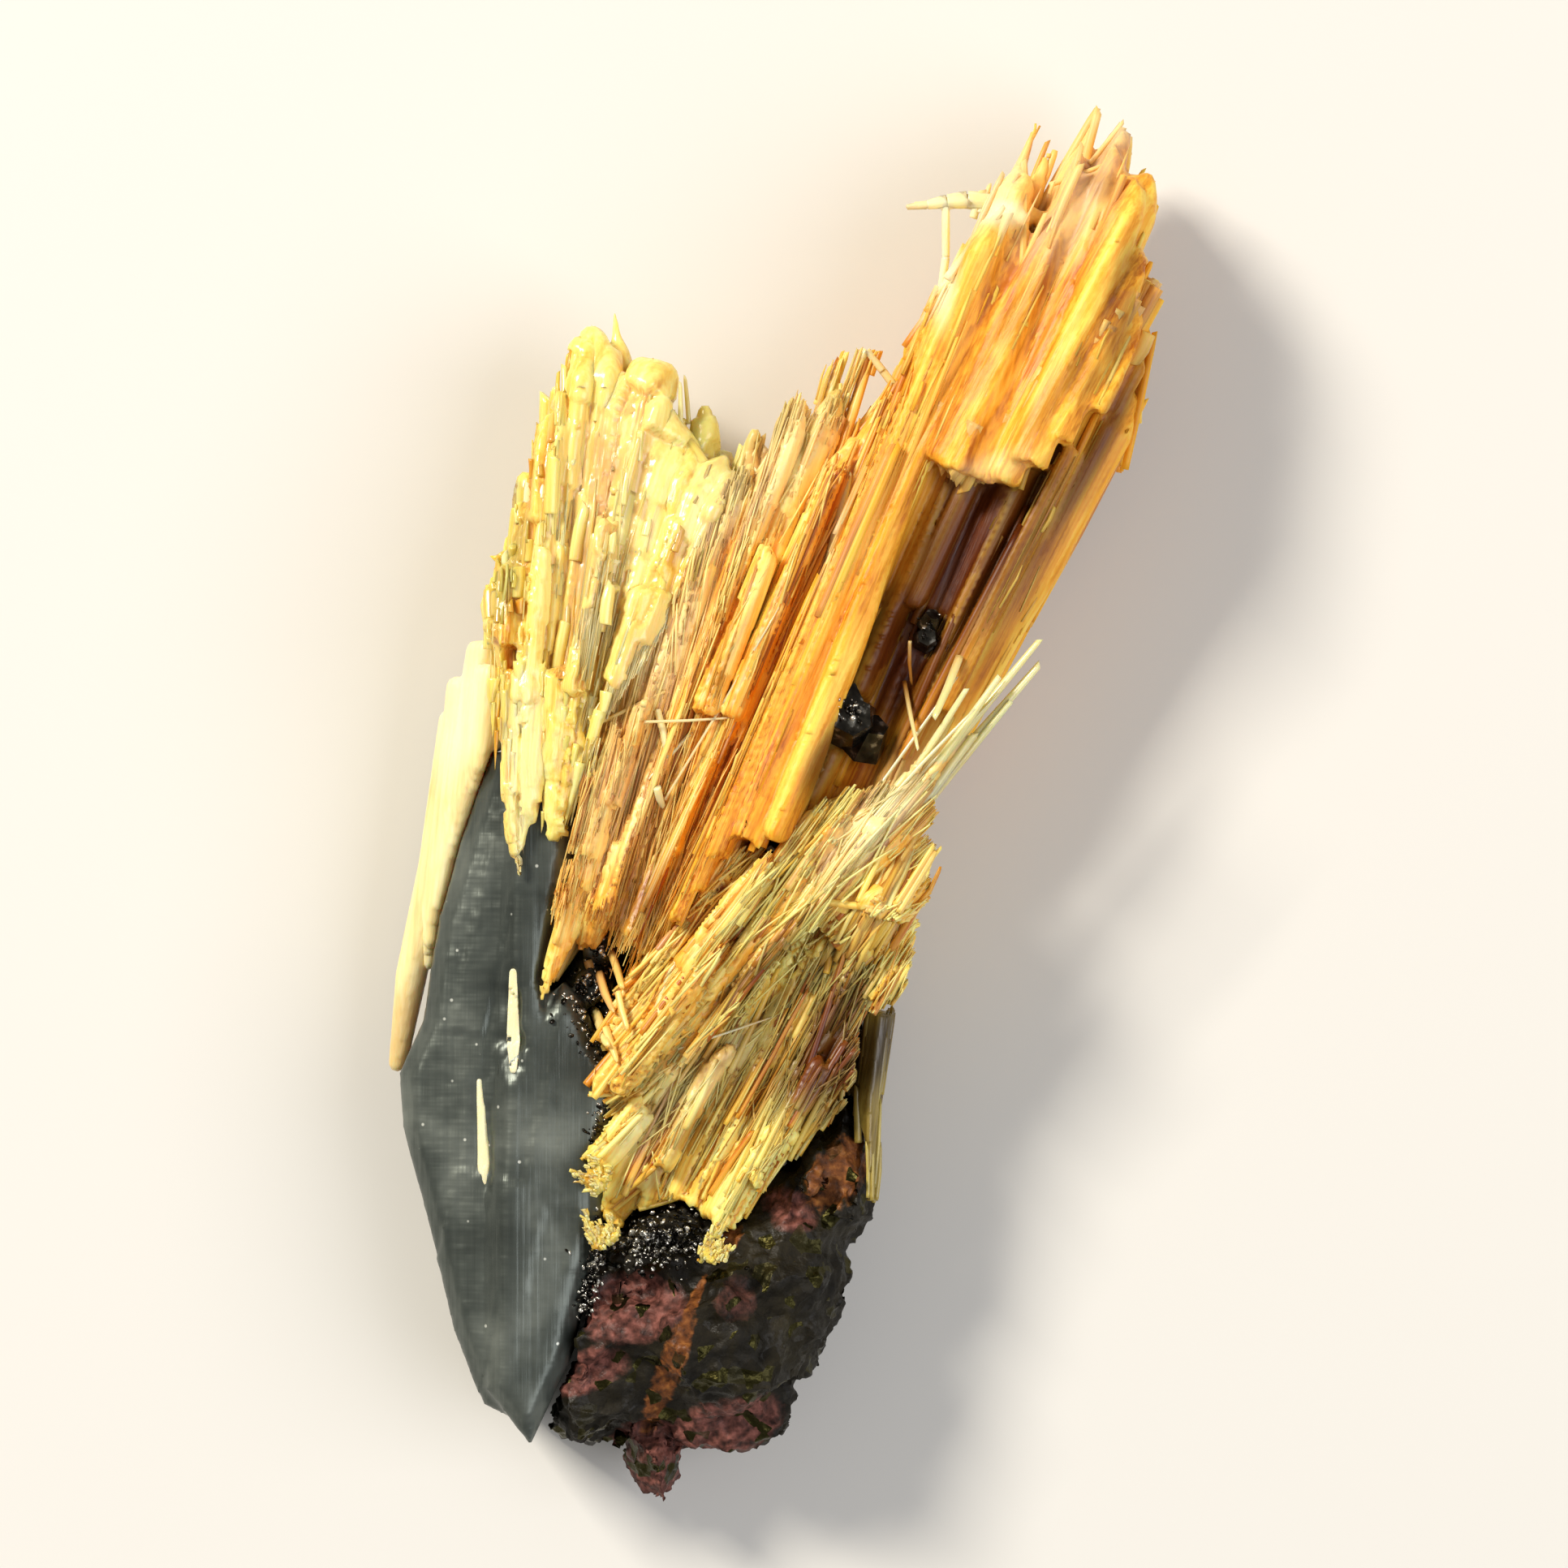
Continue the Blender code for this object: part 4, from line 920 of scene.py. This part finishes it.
def dress_lower():
    laid, walls = growth_on("lower_sheaf", LOWER_FAN)
    ridges = ((3.0, 0.5, 0.08, True), (2.0, 0.2, 0.05, True), (2.0, 0.12, 0.02, False))
    fuse("lower_sheaf", "lower_mass", LOWER_FAN, GOLDEN, 0.09, ridges, 400)
    laths = together(
        laid(130, 41, (0.08, 0.24), (0.3, 0.8), (0, 0.7), (0, 0.12), 1.2, roll=9, bands=4),
        laid(90, 42, (0.15, 0.4), (0.2, 0.7), (0, 0.8), (0, 0.2), 2, layers=(0, 0)),
        laid(90, 43, (0.12, 0.3), (0.1, 0.4), (0.4, 0.95), (0, 0), 3, layers=(0, 1)),
        walls(320, 46, (0.08, 0.22), (1.0, 4.0), roll=20),
    )
    needles = together(
        laid(
            1700, 44, (0.04, 0.08), (0.3, 0.9), (0, 0.8), (0.0, 0.07), 1.2,
            splinter=0.08, bands=4, mottle=0.5, tone=0.2,
        ),
        laid(250, 45, (0.04, 0.07), (0.1, 0.35), (0, 0.9), (0.05, 0.35), 10, tone=0.7),
        walls(500, 47, (0.05, 0.1), (0.8, 3.0), mottle=0.5),
    )
    lay("lower_laths", LATH, laths, GOLDEN)
    lay("lower_needles", NEEDLE, needles, STRAW)


def dress_tangled():
    laid, walls = growth_on("tangled_sheaf", TANGLED_FAN)
    ridges = ((2.0, 0.5, 0.1, True), (1.2, 0.2, 0.07, True), (1.5, 0.12, 0.03, False))
    fuse("tangled_sheaf", "tangled_mass", TANGLED_FAN, STRAW, 0.09, ridges, 500, tone=0.2)
    laths = together(
        laid(90, 51, (0.08, 0.24), (0.15, 0.5), (0, 0.8), (0, 0.3), 5, bands=5),
        laid(80, 52, (0.15, 0.35), (0.2, 0.6), (0, 0.8), (0, 0.2), 4, layers=(0, 0)),
        laid(90, 53, (0.12, 0.3), (0.1, 0.4), (0.4, 0.95), (0, 0), 5, layers=(0, 1)),
        walls(320, 56, (0.08, 0.2), (0.8, 2.5), roll=20),
    )
    needles = together(
        laid(1300, 54, (0.04, 0.08), (0.15, 0.6), (0, 0.9), (0.0, 0.14), 3.5, bands=5, tone=0.4, mottle=0.6),
        laid(280, 55, (0.03, 0.06), (0.1, 0.4), (0, 0.9), (0.05, 0.3), 12, tone=0.8),
        walls(500, 57, (0.04, 0.09), (0.6, 2.0), mottle=0.6),
    )
    lay("tangled_laths", LATH, laths, STRAW)
    lay("tangled_needles", NEEDLE, needles, STRAW)


def top_at(spots):
    """The highest surface of the whole specimen at these places in plan, or nan beside it."""
    return np.fmax.reduce([heights_at(relief, spots[:, 0], spots[:, 1])[1] for relief in RELIEFS.values()])


# Single needles that lie loose on the sheaves: (x, y, x, y, width, rise at the foot, rise at the tip)
LOOSE = (
    (-2.56, 0.2, 0.24, 4.9, 0.07, 0.1, 0.15), (-3.06, 2.1, -0.96, 2.2, 0.08, 0.1, 0.2),
    (-1.96, 1.8, -2.96, 0.7, 0.1, 0.1, 0.2), (-2.24, -5.9, 0.08, -5.14, 0.07, 0.1, 0.15),
    (1.6, -3.46, 2.94, -3.12, 0.08, 0.1, 0.15), (-2.82, -5.14, -2.1, -3.38, 0.16, 0.1, 0.15),
    (-0.36, 8.4, 0.14, 7.2, 0.07, 0.1, 0.1), (3.32, 3.1, 3.62, 1.42, 0.12, 0.2, 0.1),
    (3.44, 4.08, 3.5, 3.02, 0.1, 0.2, 0.2), (4.66, 3.7, 4.0, 2.18, 0.22, 0.1, 0.15),
    (1.4, 5.74, 2.0, 8.22, 0.24, 0.0, 0.1), (-2.2, 9.1, -2.2, 10.5, 0.14, 0.0, -0.3),
    (-2.0, 9.5, -2.1, 10.7, 0.12, 0.0, -0.3), (-1.6, 8.7, -1.62, 9.8, 0.14, 0.0, -0.3),
    (-5.9, 6.1, -5.96, 8.0, 0.3, -0.4, -0.6), (-6.5, 5.0, -6.54, 6.3, 0.26, -0.4, -0.6),
    (-2.75, 0.5, -2.6, 0.0, 0.22, 0.1, 0.1), (-2.75, 2.4, -2.5, 1.2, 0.2, 0.08, 0.08),
    (2.4, -0.4, 5.0, 2.4, 0.1, 0.0, 0.2), (2.9, 0.0, 5.6, 2.8, 0.1, 0.0, 0.2),
    (2.6, 0.4, 4.6, 3.2, 0.09, 0.0, 0.3),
)


# Thin free needles that stand clear of the sheaves. The straight ones fan out from places that step on from one
# root, start a share of the way to their tips, and narrow towards them: (x, y, z, width) of each tip
SPRAY_TIPS = (
    (6.6, 4.1, 6.0, 0.16), (6.6, 3.5, 5.8, 0.18), (5.6, 3.2, 6.4, 0.16), (4.8, 2.9, 6.5, 0.14),
    (5.9, 2.6, 5.9, 0.16), (5.0, 1.8, 6.0, 0.2), (4.4, 1.0, 5.8, 0.22), (4.1, 0.4, 5.6, 0.22),
)
SPRAY_ROOT = (1.4, -2.2, 5.9)
SPRAY_STEP = (0.13, -0.11, -0.07)
SPRAY_START = 0.4
SPRAY_WIDTH = 1.9
SPRAY_NARROWS = 0.5

# Bent ones: (x, y, z, width) at each place along them
FREE = (
    (
        (3.4, 14.84, 4.07, 0.14), (3.9, 14.9, 4.06, 0.24), (4.4, 14.98, 4.05, 0.36), (4.9, 15.02, 4.05, 0.46),
        (5.5, 14.96, 4.05, 0.5), (6.1, 14.8, 4.05, 0.44),
    ),
    ((4.36, 15.0, 4.05, 0.2), (4.36, 13.6, 4.05, 0.2), (4.2, 12.5, 4.05, 0.2), (4.05, 11.6, 4.05, 0.18)),
    (
        (1.5, 9.2, 4.0, 0.36), (2.0, 10.5, 4.0, 0.24), (2.4, 11.3, 4.0, 0.2), (2.8, 10.8, 4.0, 0.2),
        (3.1, 10.4, 4.0, 0.2),
    ),
)


# Bundles that lie up to and down from the crest at the lower sheaf's right end: its place, way and spread
CREST = (2.7, -2.35)
CREST_WAY = (0.75, 1.3)
CREST_SPREAD = (0.4, 0.14)
CREST_TURN = 0.07
CREST_WIDTHS = (0.05, 0.24)
CREST_RISE = 0.12


def bundle_rows():
    dice = np.random.default_rng(48)
    count = 70
    rows = []
    for back, ahead in (((0.5, 1.1), (0.0, 0.15)), ((0.0, 0.1), (0.5, 1.1))):
        crest = np.array(CREST) + dice.normal(0, 1, (count, 2)) * CREST_SPREAD
        way = np.array(CREST_WAY) + dice.normal(0, CREST_TURN, (count, 2))
        feet = crest - way * dice.uniform(*back, (count, 1))
        tips = crest + way * dice.uniform(*ahead, (count, 1))
        thick = dice.uniform(*CREST_WIDTHS, (count, 1))
        rows.append(np.hstack((feet, tips, thick, dice.uniform(0.0, CREST_RISE, (count, 2)))))
    return np.concatenate(rows)


def dress_free():
    pieces = []
    for i, (x, y, z, width) in enumerate(SPRAY_TIPS):
        root = np.array(SPRAY_ROOT) + np.array(SPRAY_STEP) * (i % 3, i, i)
        tip = np.array((x, y, z))
        pieces.append((*(root + (tip - root) * SPRAY_START), *tip, width * SPRAY_WIDTH, SPRAY_NARROWS))
    for places in FREE:
        for this, following in zip(places, places[1:]):
            pieces.append((*this[:3], *following[:3], this[3], following[3] / this[3]))
    pieces = np.array(pieces)
    dice = np.random.default_rng(72)
    feet, tips, width = pieces[:, :3], pieces[:, 3:6], pieces[:, 6]
    crystals = traits(feet, tips, width, dice, pale=0.6, blunt=(0.9, 1.0), roll=0, bow=0)
    crystals["flare"] = pieces[:, 7]
    lay("free_needles", COLUMN, crystals, PALE).data.shade_smooth()


# Stubby crystals in the cavity: (x, y, x, y, width, rise at the foot, rise at the tip)
STUBS = (
    (-4.5, -3.8, -4.15, -4.8, 0.24, 0.3, 0.5), (-4.2, -4.1, -3.8, -5.0, 0.22, 0.3, 0.4),
    (-4.4, -4.9, -3.95, -5.8, 0.27, 0.3, 0.5), (-4.0, -5.4, -3.7, -6.2, 0.2, 0.2, 0.4),
    (-3.7, -4.5, -3.45, -5.4, 0.18, 0.3, 0.4), (-4.75, -4.5, -4.5, -5.2, 0.16, 0.2, 0.3),
    (-3.9, -3.6, -3.6, -4.4, 0.2, 0.2, 0.4),
)


def dress_loose(name, rows, seed, coat, pale):
    """Single crystals that rest on the specimen's highest surface at their feet and tips."""
    rows = np.array(rows)
    feet, tips = rows[:, :2], rows[:, 2:4]
    low, high = top_at(feet) + rows[:, 5], top_at(tips) + rows[:, 6]
    low, high = np.where(np.isnan(low), high, low), np.where(np.isnan(high), low, high)
    feet, tips = np.column_stack((feet, low)), np.column_stack((tips, high))
    dice = np.random.default_rng(seed)
    crystals = traits(feet, tips, rows[:, 4], dice, pale=pale, blunt=(0.2, 0.6), bow=0.03)
    lay(name, LATH, crystals, coat)


# A tuft's core is made in small faces and drawn in a little, so that its crystals stand out of it
TUFT_VOXEL = 0.05
TUFT_SWELL = -0.03
TUFT_CRYSTALS = 90
TUFT_TURN = 0.22
TUFT_LENGTHS = (0.06, 0.24)
TUFT_WIDTHS = (0.05, 0.12)


def dress_tufts():
    """Cream clumps of short stubby crystals, all pointing much the same way, at the foot of the sheaves."""
    for k in range(3):
        core = fine_copy(f"rutile_tuft_{k + 1}", f"cream_core_{k + 1}", TUFT_VOXEL, TUFT_SWELL)
        places = places_of(core)
        main = np.linalg.svd(places - places.mean(0), full_matrices=False)[2][0]
        main *= 1 if main[1] > 0 else -1
        along, across = places @ main, places[:, 0] + places[:, 2]
        push(core, 0.07 * streaks(along / 0.5, across / 0.16, 87 + k, True))
        places = places_of(core)
        shade_rutile(core.data, places, places, 0.4 * streaks(along / 0.6, across / 0.2, 88 + k, True))
        finish(core, PALE, f"rutile_tuft_{k + 1}")
        dice = np.random.default_rng(80 + k)
        feet = places[dice.choice(len(places), TUFT_CRYSTALS)]
        way = unit(main + dice.normal(0, TUFT_TURN, feet.shape))
        tips = feet + way * dice.uniform(*TUFT_LENGTHS, (len(feet), 1))
        width = dice.uniform(*TUFT_WIDTHS, len(feet))
        crystals = traits(feet, tips, width, dice, pale=0.1, blunt=(0.6, 1.0), roll=60)
        lay(f"cream_clump_{k + 1}", LATH, crystals, PALE)


EDGE_FAN = (((2.0, -9.6), (3.0, -9.6)), ((2.3, -5.0), (3.1, -5.0)))


# How high the inlaid blades stand above the hematite's face
INLAY_RISE = 0.13

# The blades in and beside the hematite: (node, piece, voxel, swell, rounds of smoothing, finish, heading in
# degrees, tone, paleness)
SMALL_BLADES = (
    ("side_blades", "tan_blades", 0.085, 0.12, 2, BUTTER, 82, 0.1, 0.1),
    ("edge_blade", "edge_lath", 0.06, 0.05, 0, OLIVE, 80, 0.0, 0.0),
    ("inlaid_blade_1", "inlaid_lath_1", 0.04, 0.03, 0, BUTTER, 85, 0.0, 0.4),
    ("inlaid_blade_2", "inlaid_lath_2", 0.04, 0.03, 0, BUTTER, 85, 0.0, 0.4),
)


def dress_small_blades():
    """The blades that lie in and beside the hematite, swollen to fill the places they grow in."""
    for seed, (node, name, voxel, swell, smooth, coat, heading, tone, pale) in enumerate(SMALL_BLADES):
        thing = fine_copy(node, name, voxel, swell, smooth)
        places = places_of(thing)
        if node.startswith("inlaid"):
            places[:, 2] = np.minimum(places[:, 2], closed_face(places) + INLAY_RISE)
            thing.data.vertices.foreach_set("co", (places * MM).ravel())
        along, across = turned(places[:, 0], places[:, 1], heading)
        push(thing, 0.02 * streaks(along / 4, across / 0.2, 90 + seed, False))
        places = places_of(thing)
        shade = tone + 0.3 * streaks(along / 5, across / 0.3, 95 + seed, False)
        shade_rutile(thing.data, places, np.column_stack((across, places[:, 2], along)), shade, pale)
        thing.data.shade_smooth()
        finish(thing, coat, node)
    edge_laths = wall_growth("edge_blade", EDGE_FAN, 90, 89, (0.06, 0.22), (0.6, 3.0), mottle=0.4)
    lay("edge_laths", LATH, edge_laths, OLIVE)


# Hematite

TABLET_VOXEL = 0.1
TABLET_SWELL = 0.08

# The pockets that the inlaid blades lie in: how many grid steps the face is carried across them, how deep the
# hematite is raised and how far beside the blades
POCKET_REACH = 5
POCKET_DEPTH = 1.7
POCKET_MARGIN = 0.5


def closed_face(places):
    """The level of the hematite's face at these places, carried straight across its pockets."""
    face = RELIEFS["hematite_blade"]["heights"][1]
    for step in (np.fmax, np.fmin):
        for _ in range(POCKET_REACH):
            face = step.reduce([np.roll(face, way, axis) for way in (-1, 0, 1) for axis in (0, 1)])
    corner = RELIEFS["hematite_blade"]["corner"]
    i, j = (np.rint((places[:, k] - corner[k]) / GRID).astype(int) for k in (0, 1))
    return face[np.clip(i, 0, face.shape[0] - 1), np.clip(j, 0, face.shape[1] - 1)]


def close_pockets(thing):
    """Raises the hematite round the inlaid blades to the level of its face, so that they sit tight in it."""
    places = places_of(thing)
    near = np.zeros(len(places), bool)
    for node in ("inlaid_blade_1", "inlaid_blade_2"):
        for shift in (-POCKET_MARGIN, 0, POCKET_MARGIN):
            near |= ~np.isnan(heights_at(RELIEFS[node], places[:, 0], places[:, 1] + shift)[1])
            near |= ~np.isnan(heights_at(RELIEFS[node], places[:, 0] + shift / 2, places[:, 1])[1])
    level = closed_face(places)
    raised = near & (places[:, 2] > level - POCKET_DEPTH)
    places[:, 2] = np.where(raised, level, places[:, 2])
    thing.data.vertices.foreach_set("co", (places * MM).ravel())
    thing.data.update()
    apply_step(thing, "REMESH", mode="VOXEL", voxel_size=TABLET_VOXEL * MM, use_smooth_shade=True)


# Ridges along the tablet: (length, width, height, seed, sharp), its heading, and the cavity, painted nearly
# black for the shade in the hollow and the black of its crystals
RULES = ((7, 1.1, 0.035, 601, True), (2, 1.5, 0.03, 602, False))
TABLET_HEADING = 78
CAVITY = ((-3.9, -4.6, 1.5, 0.75, 75, 1.0),)


def dress_blade():
    thing = fine_copy("hematite_blade", "hematite_tablet", TABLET_VOXEL)
    close_pockets(thing)
    push(thing, TABLET_SWELL)
    places = places_of(thing)
    along, across = turned(places[:, 0], places[:, 1], TABLET_HEADING)
    for length, width, height, seed, sharp in RULES:
        push(thing, height * streaks(along / length, across / width, seed, sharp))
    rough_up(thing, 0.25, 0.03)
    set_value(thing.data, "stain_and_shade", blots(places_of(thing), CAVITY))
    thing.data.shade_smooth()
    finish(thing, STEEL, "hematite_blade")


# Where the rock is rusty red and where it is ochre: (x, y, half length, half width, angle, strength)
RUSTED = (
    (-3.4, -12.3, 1.5, 0.9, 10, 1.0), (-2.6, -16.2, 1.6, 1.2, 0, 1.0), (-4.6, -13.9, 1.2, 0.6, 20, 0.9),
    (-0.8, -12.0, 0.7, 0.7, 0, 0.5), (0.5, -9.9, 0.6, 0.8, 60, 0.7), (-1.2, -15.4, 1.8, 0.9, 20, 0.9),
)
OCHRE = (
    (-2.5, -13.9, 2.0, 0.35, 70, 0.9), (-1.9, -12.2, 0.9, 0.14, 65, 0.9), (2.2, -12.5, 2.2, 0.35, 78, 0.8),
    (1.7, -9.0, 1.1, 0.7, 50, 0.95), (-1.0, -10.6, 0.5, 0.3, 50, 0.7), (2.6, -8.2, 0.8, 0.5, 70, 0.9),
)


# The rock's small faces and how far it is swollen, and its lumps and crumbs: (size, height)
ROCK_VOXEL = 0.095
ROCK_SWELL = 0.1
LUMPS = ((1.4, 0.5), (0.5, 0.2))
CRUMBS = (0.22, 0.08)


def dress_matrix():
    thing = fine_copy("hematite_matrix", "hematite_rock", ROCK_VOXEL, ROCK_SWELL)
    for size, height in LUMPS:
        rough_up(thing, size, height, noise_basis="VORONOI_F2_F1", noise_depth=1)
    rough_up(thing, *CRUMBS)
    places = places_of(thing)
    set_value(thing.data, "stain_and_shade", blots(places, RUSTED))
    set_value(thing.data, "pale", blots(places, OCHRE))
    thing.data.shade_smooth()
    finish(thing, ROCK, "hematite_matrix")


# The small black crystals: how high they are bedded, how thick they are and how far their ends narrow
GRAIN = model_crystal("grain", 6, (0.5,))
BEDDING = 0.1
THICKNESS = 0.45
NARROWED = 0.7

# The seam between the tablet and the rock
SEAM = (
    (-3.9, -3.5), (-4.9, -4.4), (-4.2, -5.9), (-3.8, -6.9), (-4.3, -8.1), (-3.7, -9.1), (-4.1, -10.1),
    (-4.3, -11.3), (-4.6, -12.4),
)


def scatter(name, spots, seed, sizes, nodes):
    """Small sharp crystals turned every way, bedded in the surface of the nodes at these places in plan."""
    dice = np.random.default_rng(seed)
    corners, faces = GRAIN
    heights = np.fmax.reduce([heights_at(RELIEFS[node], spots[:, 0], spots[:, 1])[1] for node in nodes])
    spots, heights = spots[~np.isnan(heights)], heights[~np.isnan(heights)]
    count = len(spots)
    size = dice.uniform(*sizes, (count, 1, 1)) * dice.uniform(0.4, 1.0, (count, 1, 1))
    first = unit(dice.normal(size=(count, 3)))
    second = unit(np.cross(first, dice.normal(size=(count, 3))))
    axes = np.stack((first, second, np.cross(first, second)), axis=1)
    ends = np.abs(corners[:, 2:] - 0.5) > 0.4
    shape = (corners - (0, 0, 0.5)) * (1, 1, THICKNESS) * np.where(ends, NARROWED, 1.0)
    centre = np.column_stack((spots, heights + BEDDING))[:, None, :]
    places = (np.einsum("kj,njd->nkd", shape, axes) * size + centre).reshape(-1, 3)
    places[:, 2] = np.maximum(places[:, 2], 0)
    thing = mesh_of_copies(name, places, faces, count, len(corners))
    # Each crystal's tone sets how near-white it is painted as a glint
    set_value(thing.data, "tone", np.repeat(dice.normal(0.2, 0.7, count), len(corners)))
    finish(thing, BLACK)


def near_line(line, count, spread, dice):
    return point_at(line, dice.random(count)) + dice.normal(0, spread, (count, 2))


def near_spot(x, y, across, up, count, dice):
    return np.array((x, y)) + dice.normal(0, 1, (count, 2)) * (across, up)


def dress_druses():
    """The sparkling crusts of tiny hematite crystals in the cavity, on the seam and over the black patch."""
    dice = np.random.default_rng(61)
    seam = near_line(SEAM, 800, 0.13, dice)
    cavity = near_spot(-4.0, -4.6, 0.45, 0.8, 420, dice)
    cluster = near_spot(-2.7, -10.6, 0.7, 0.35, 550, dice)
    spots = np.concatenate((seam, cavity, cluster))
    scatter("seam_crystals", spots, 64, (0.07, 0.24), ("hematite_blade", "hematite_matrix"))
    large, small = near_spot(2.0, 2.3, 0.2, 0.2, 40, dice), near_spot(3.9, 4.4, 0.12, 0.18, 14, dice)
    carriers = ("long_sheaf", "black_crystal_large", "black_crystal_small")
    scatter("recess_crystals", np.concatenate((large, small)), 65, (0.06, 0.2), carriers)


def paint_nodes():
    """The black crystals keep their CAD form and get their finish; every other node is replaced."""
    for node in NODES.values():
        node.data.materials.clear()
        node.data.materials.append(BLACK[0])


# Studio


def add_studio():
    bpy.ops.object.select_all(action="DESELECT")
    bpy.ops.mesh.primitive_plane_add(size=2.0, location=(0, 0, 0))
    floor = bpy.context.object
    floor.name = "floor"
    floor.data.materials.append(floor_paper())
    add_light("key", (-260, 235, 300), 120, 2.6, "#fff6e8")
    add_light("fill", (260, -60, 320), 320, 1.0, "#fbfaff")
    world = bpy.data.worlds.new("studio")
    bpy.context.scene.world = world
    world.use_nodes = True
    world.node_tree.nodes["Background"].inputs["Color"].default_value = linear("#eceae6")
    world.node_tree.nodes["Background"].inputs["Strength"].default_value = 0.35


def add_light(name, place, size, power, colour):
    """A square soft light that faces the specimen; place and size are in millimetres."""
    data = bpy.data.lights.new(name, "AREA")
    data.shape = "SQUARE"
    data.size = size * MM
    data.energy = power
    data.color = linear(colour)[:3]
    lamp = bpy.data.objects.new(name, data)
    lamp.location = Vector(place) * MM
    lamp.rotation_euler = (-Vector(place)).to_track_quat("-Z", "Y").to_euler()
    bpy.context.scene.collection.objects.link(lamp)


# The photo is 1932 pixels wide at 0.02 mm a pixel, and its middle falls here on the specimen
PHOTO_WIDTH = 1932 * 0.02
PHOTO_MIDDLE = (0.36, 0.58)
LOOK_HEIGHT = 4.5
LENS = 135


def add_camera():
    data = bpy.data.cameras.new("camera")
    data.lens = LENS
    data.clip_start = 0.01
    camera = bpy.data.objects.new("camera", data)
    distance = PHOTO_WIDTH * LENS / data.sensor_width
    camera.location = Vector((*PHOTO_MIDDLE, LOOK_HEIGHT + distance)) * MM
    bpy.context.scene.collection.objects.link(camera)
    bpy.context.scene.camera = camera


paint_nodes()
dress_blade()
dress_matrix()
dress_small_blades()
dress_druses()
dress_tufts()
dress_loose("loose_needles", LOOSE, 71, PALE, 0.7)
dress_loose("lower_bundle", bundle_rows(), 74, STRAW, 0.1)
dress_loose("cavity_stubs", STUBS, 73, GOLDEN, 0.2)
dress_free()
dress_left()
dress_middle()
dress_long()
dress_lower()
dress_tangled()
add_studio()
add_camera()
bpy.context.scene.view_settings.view_transform = "Standard"
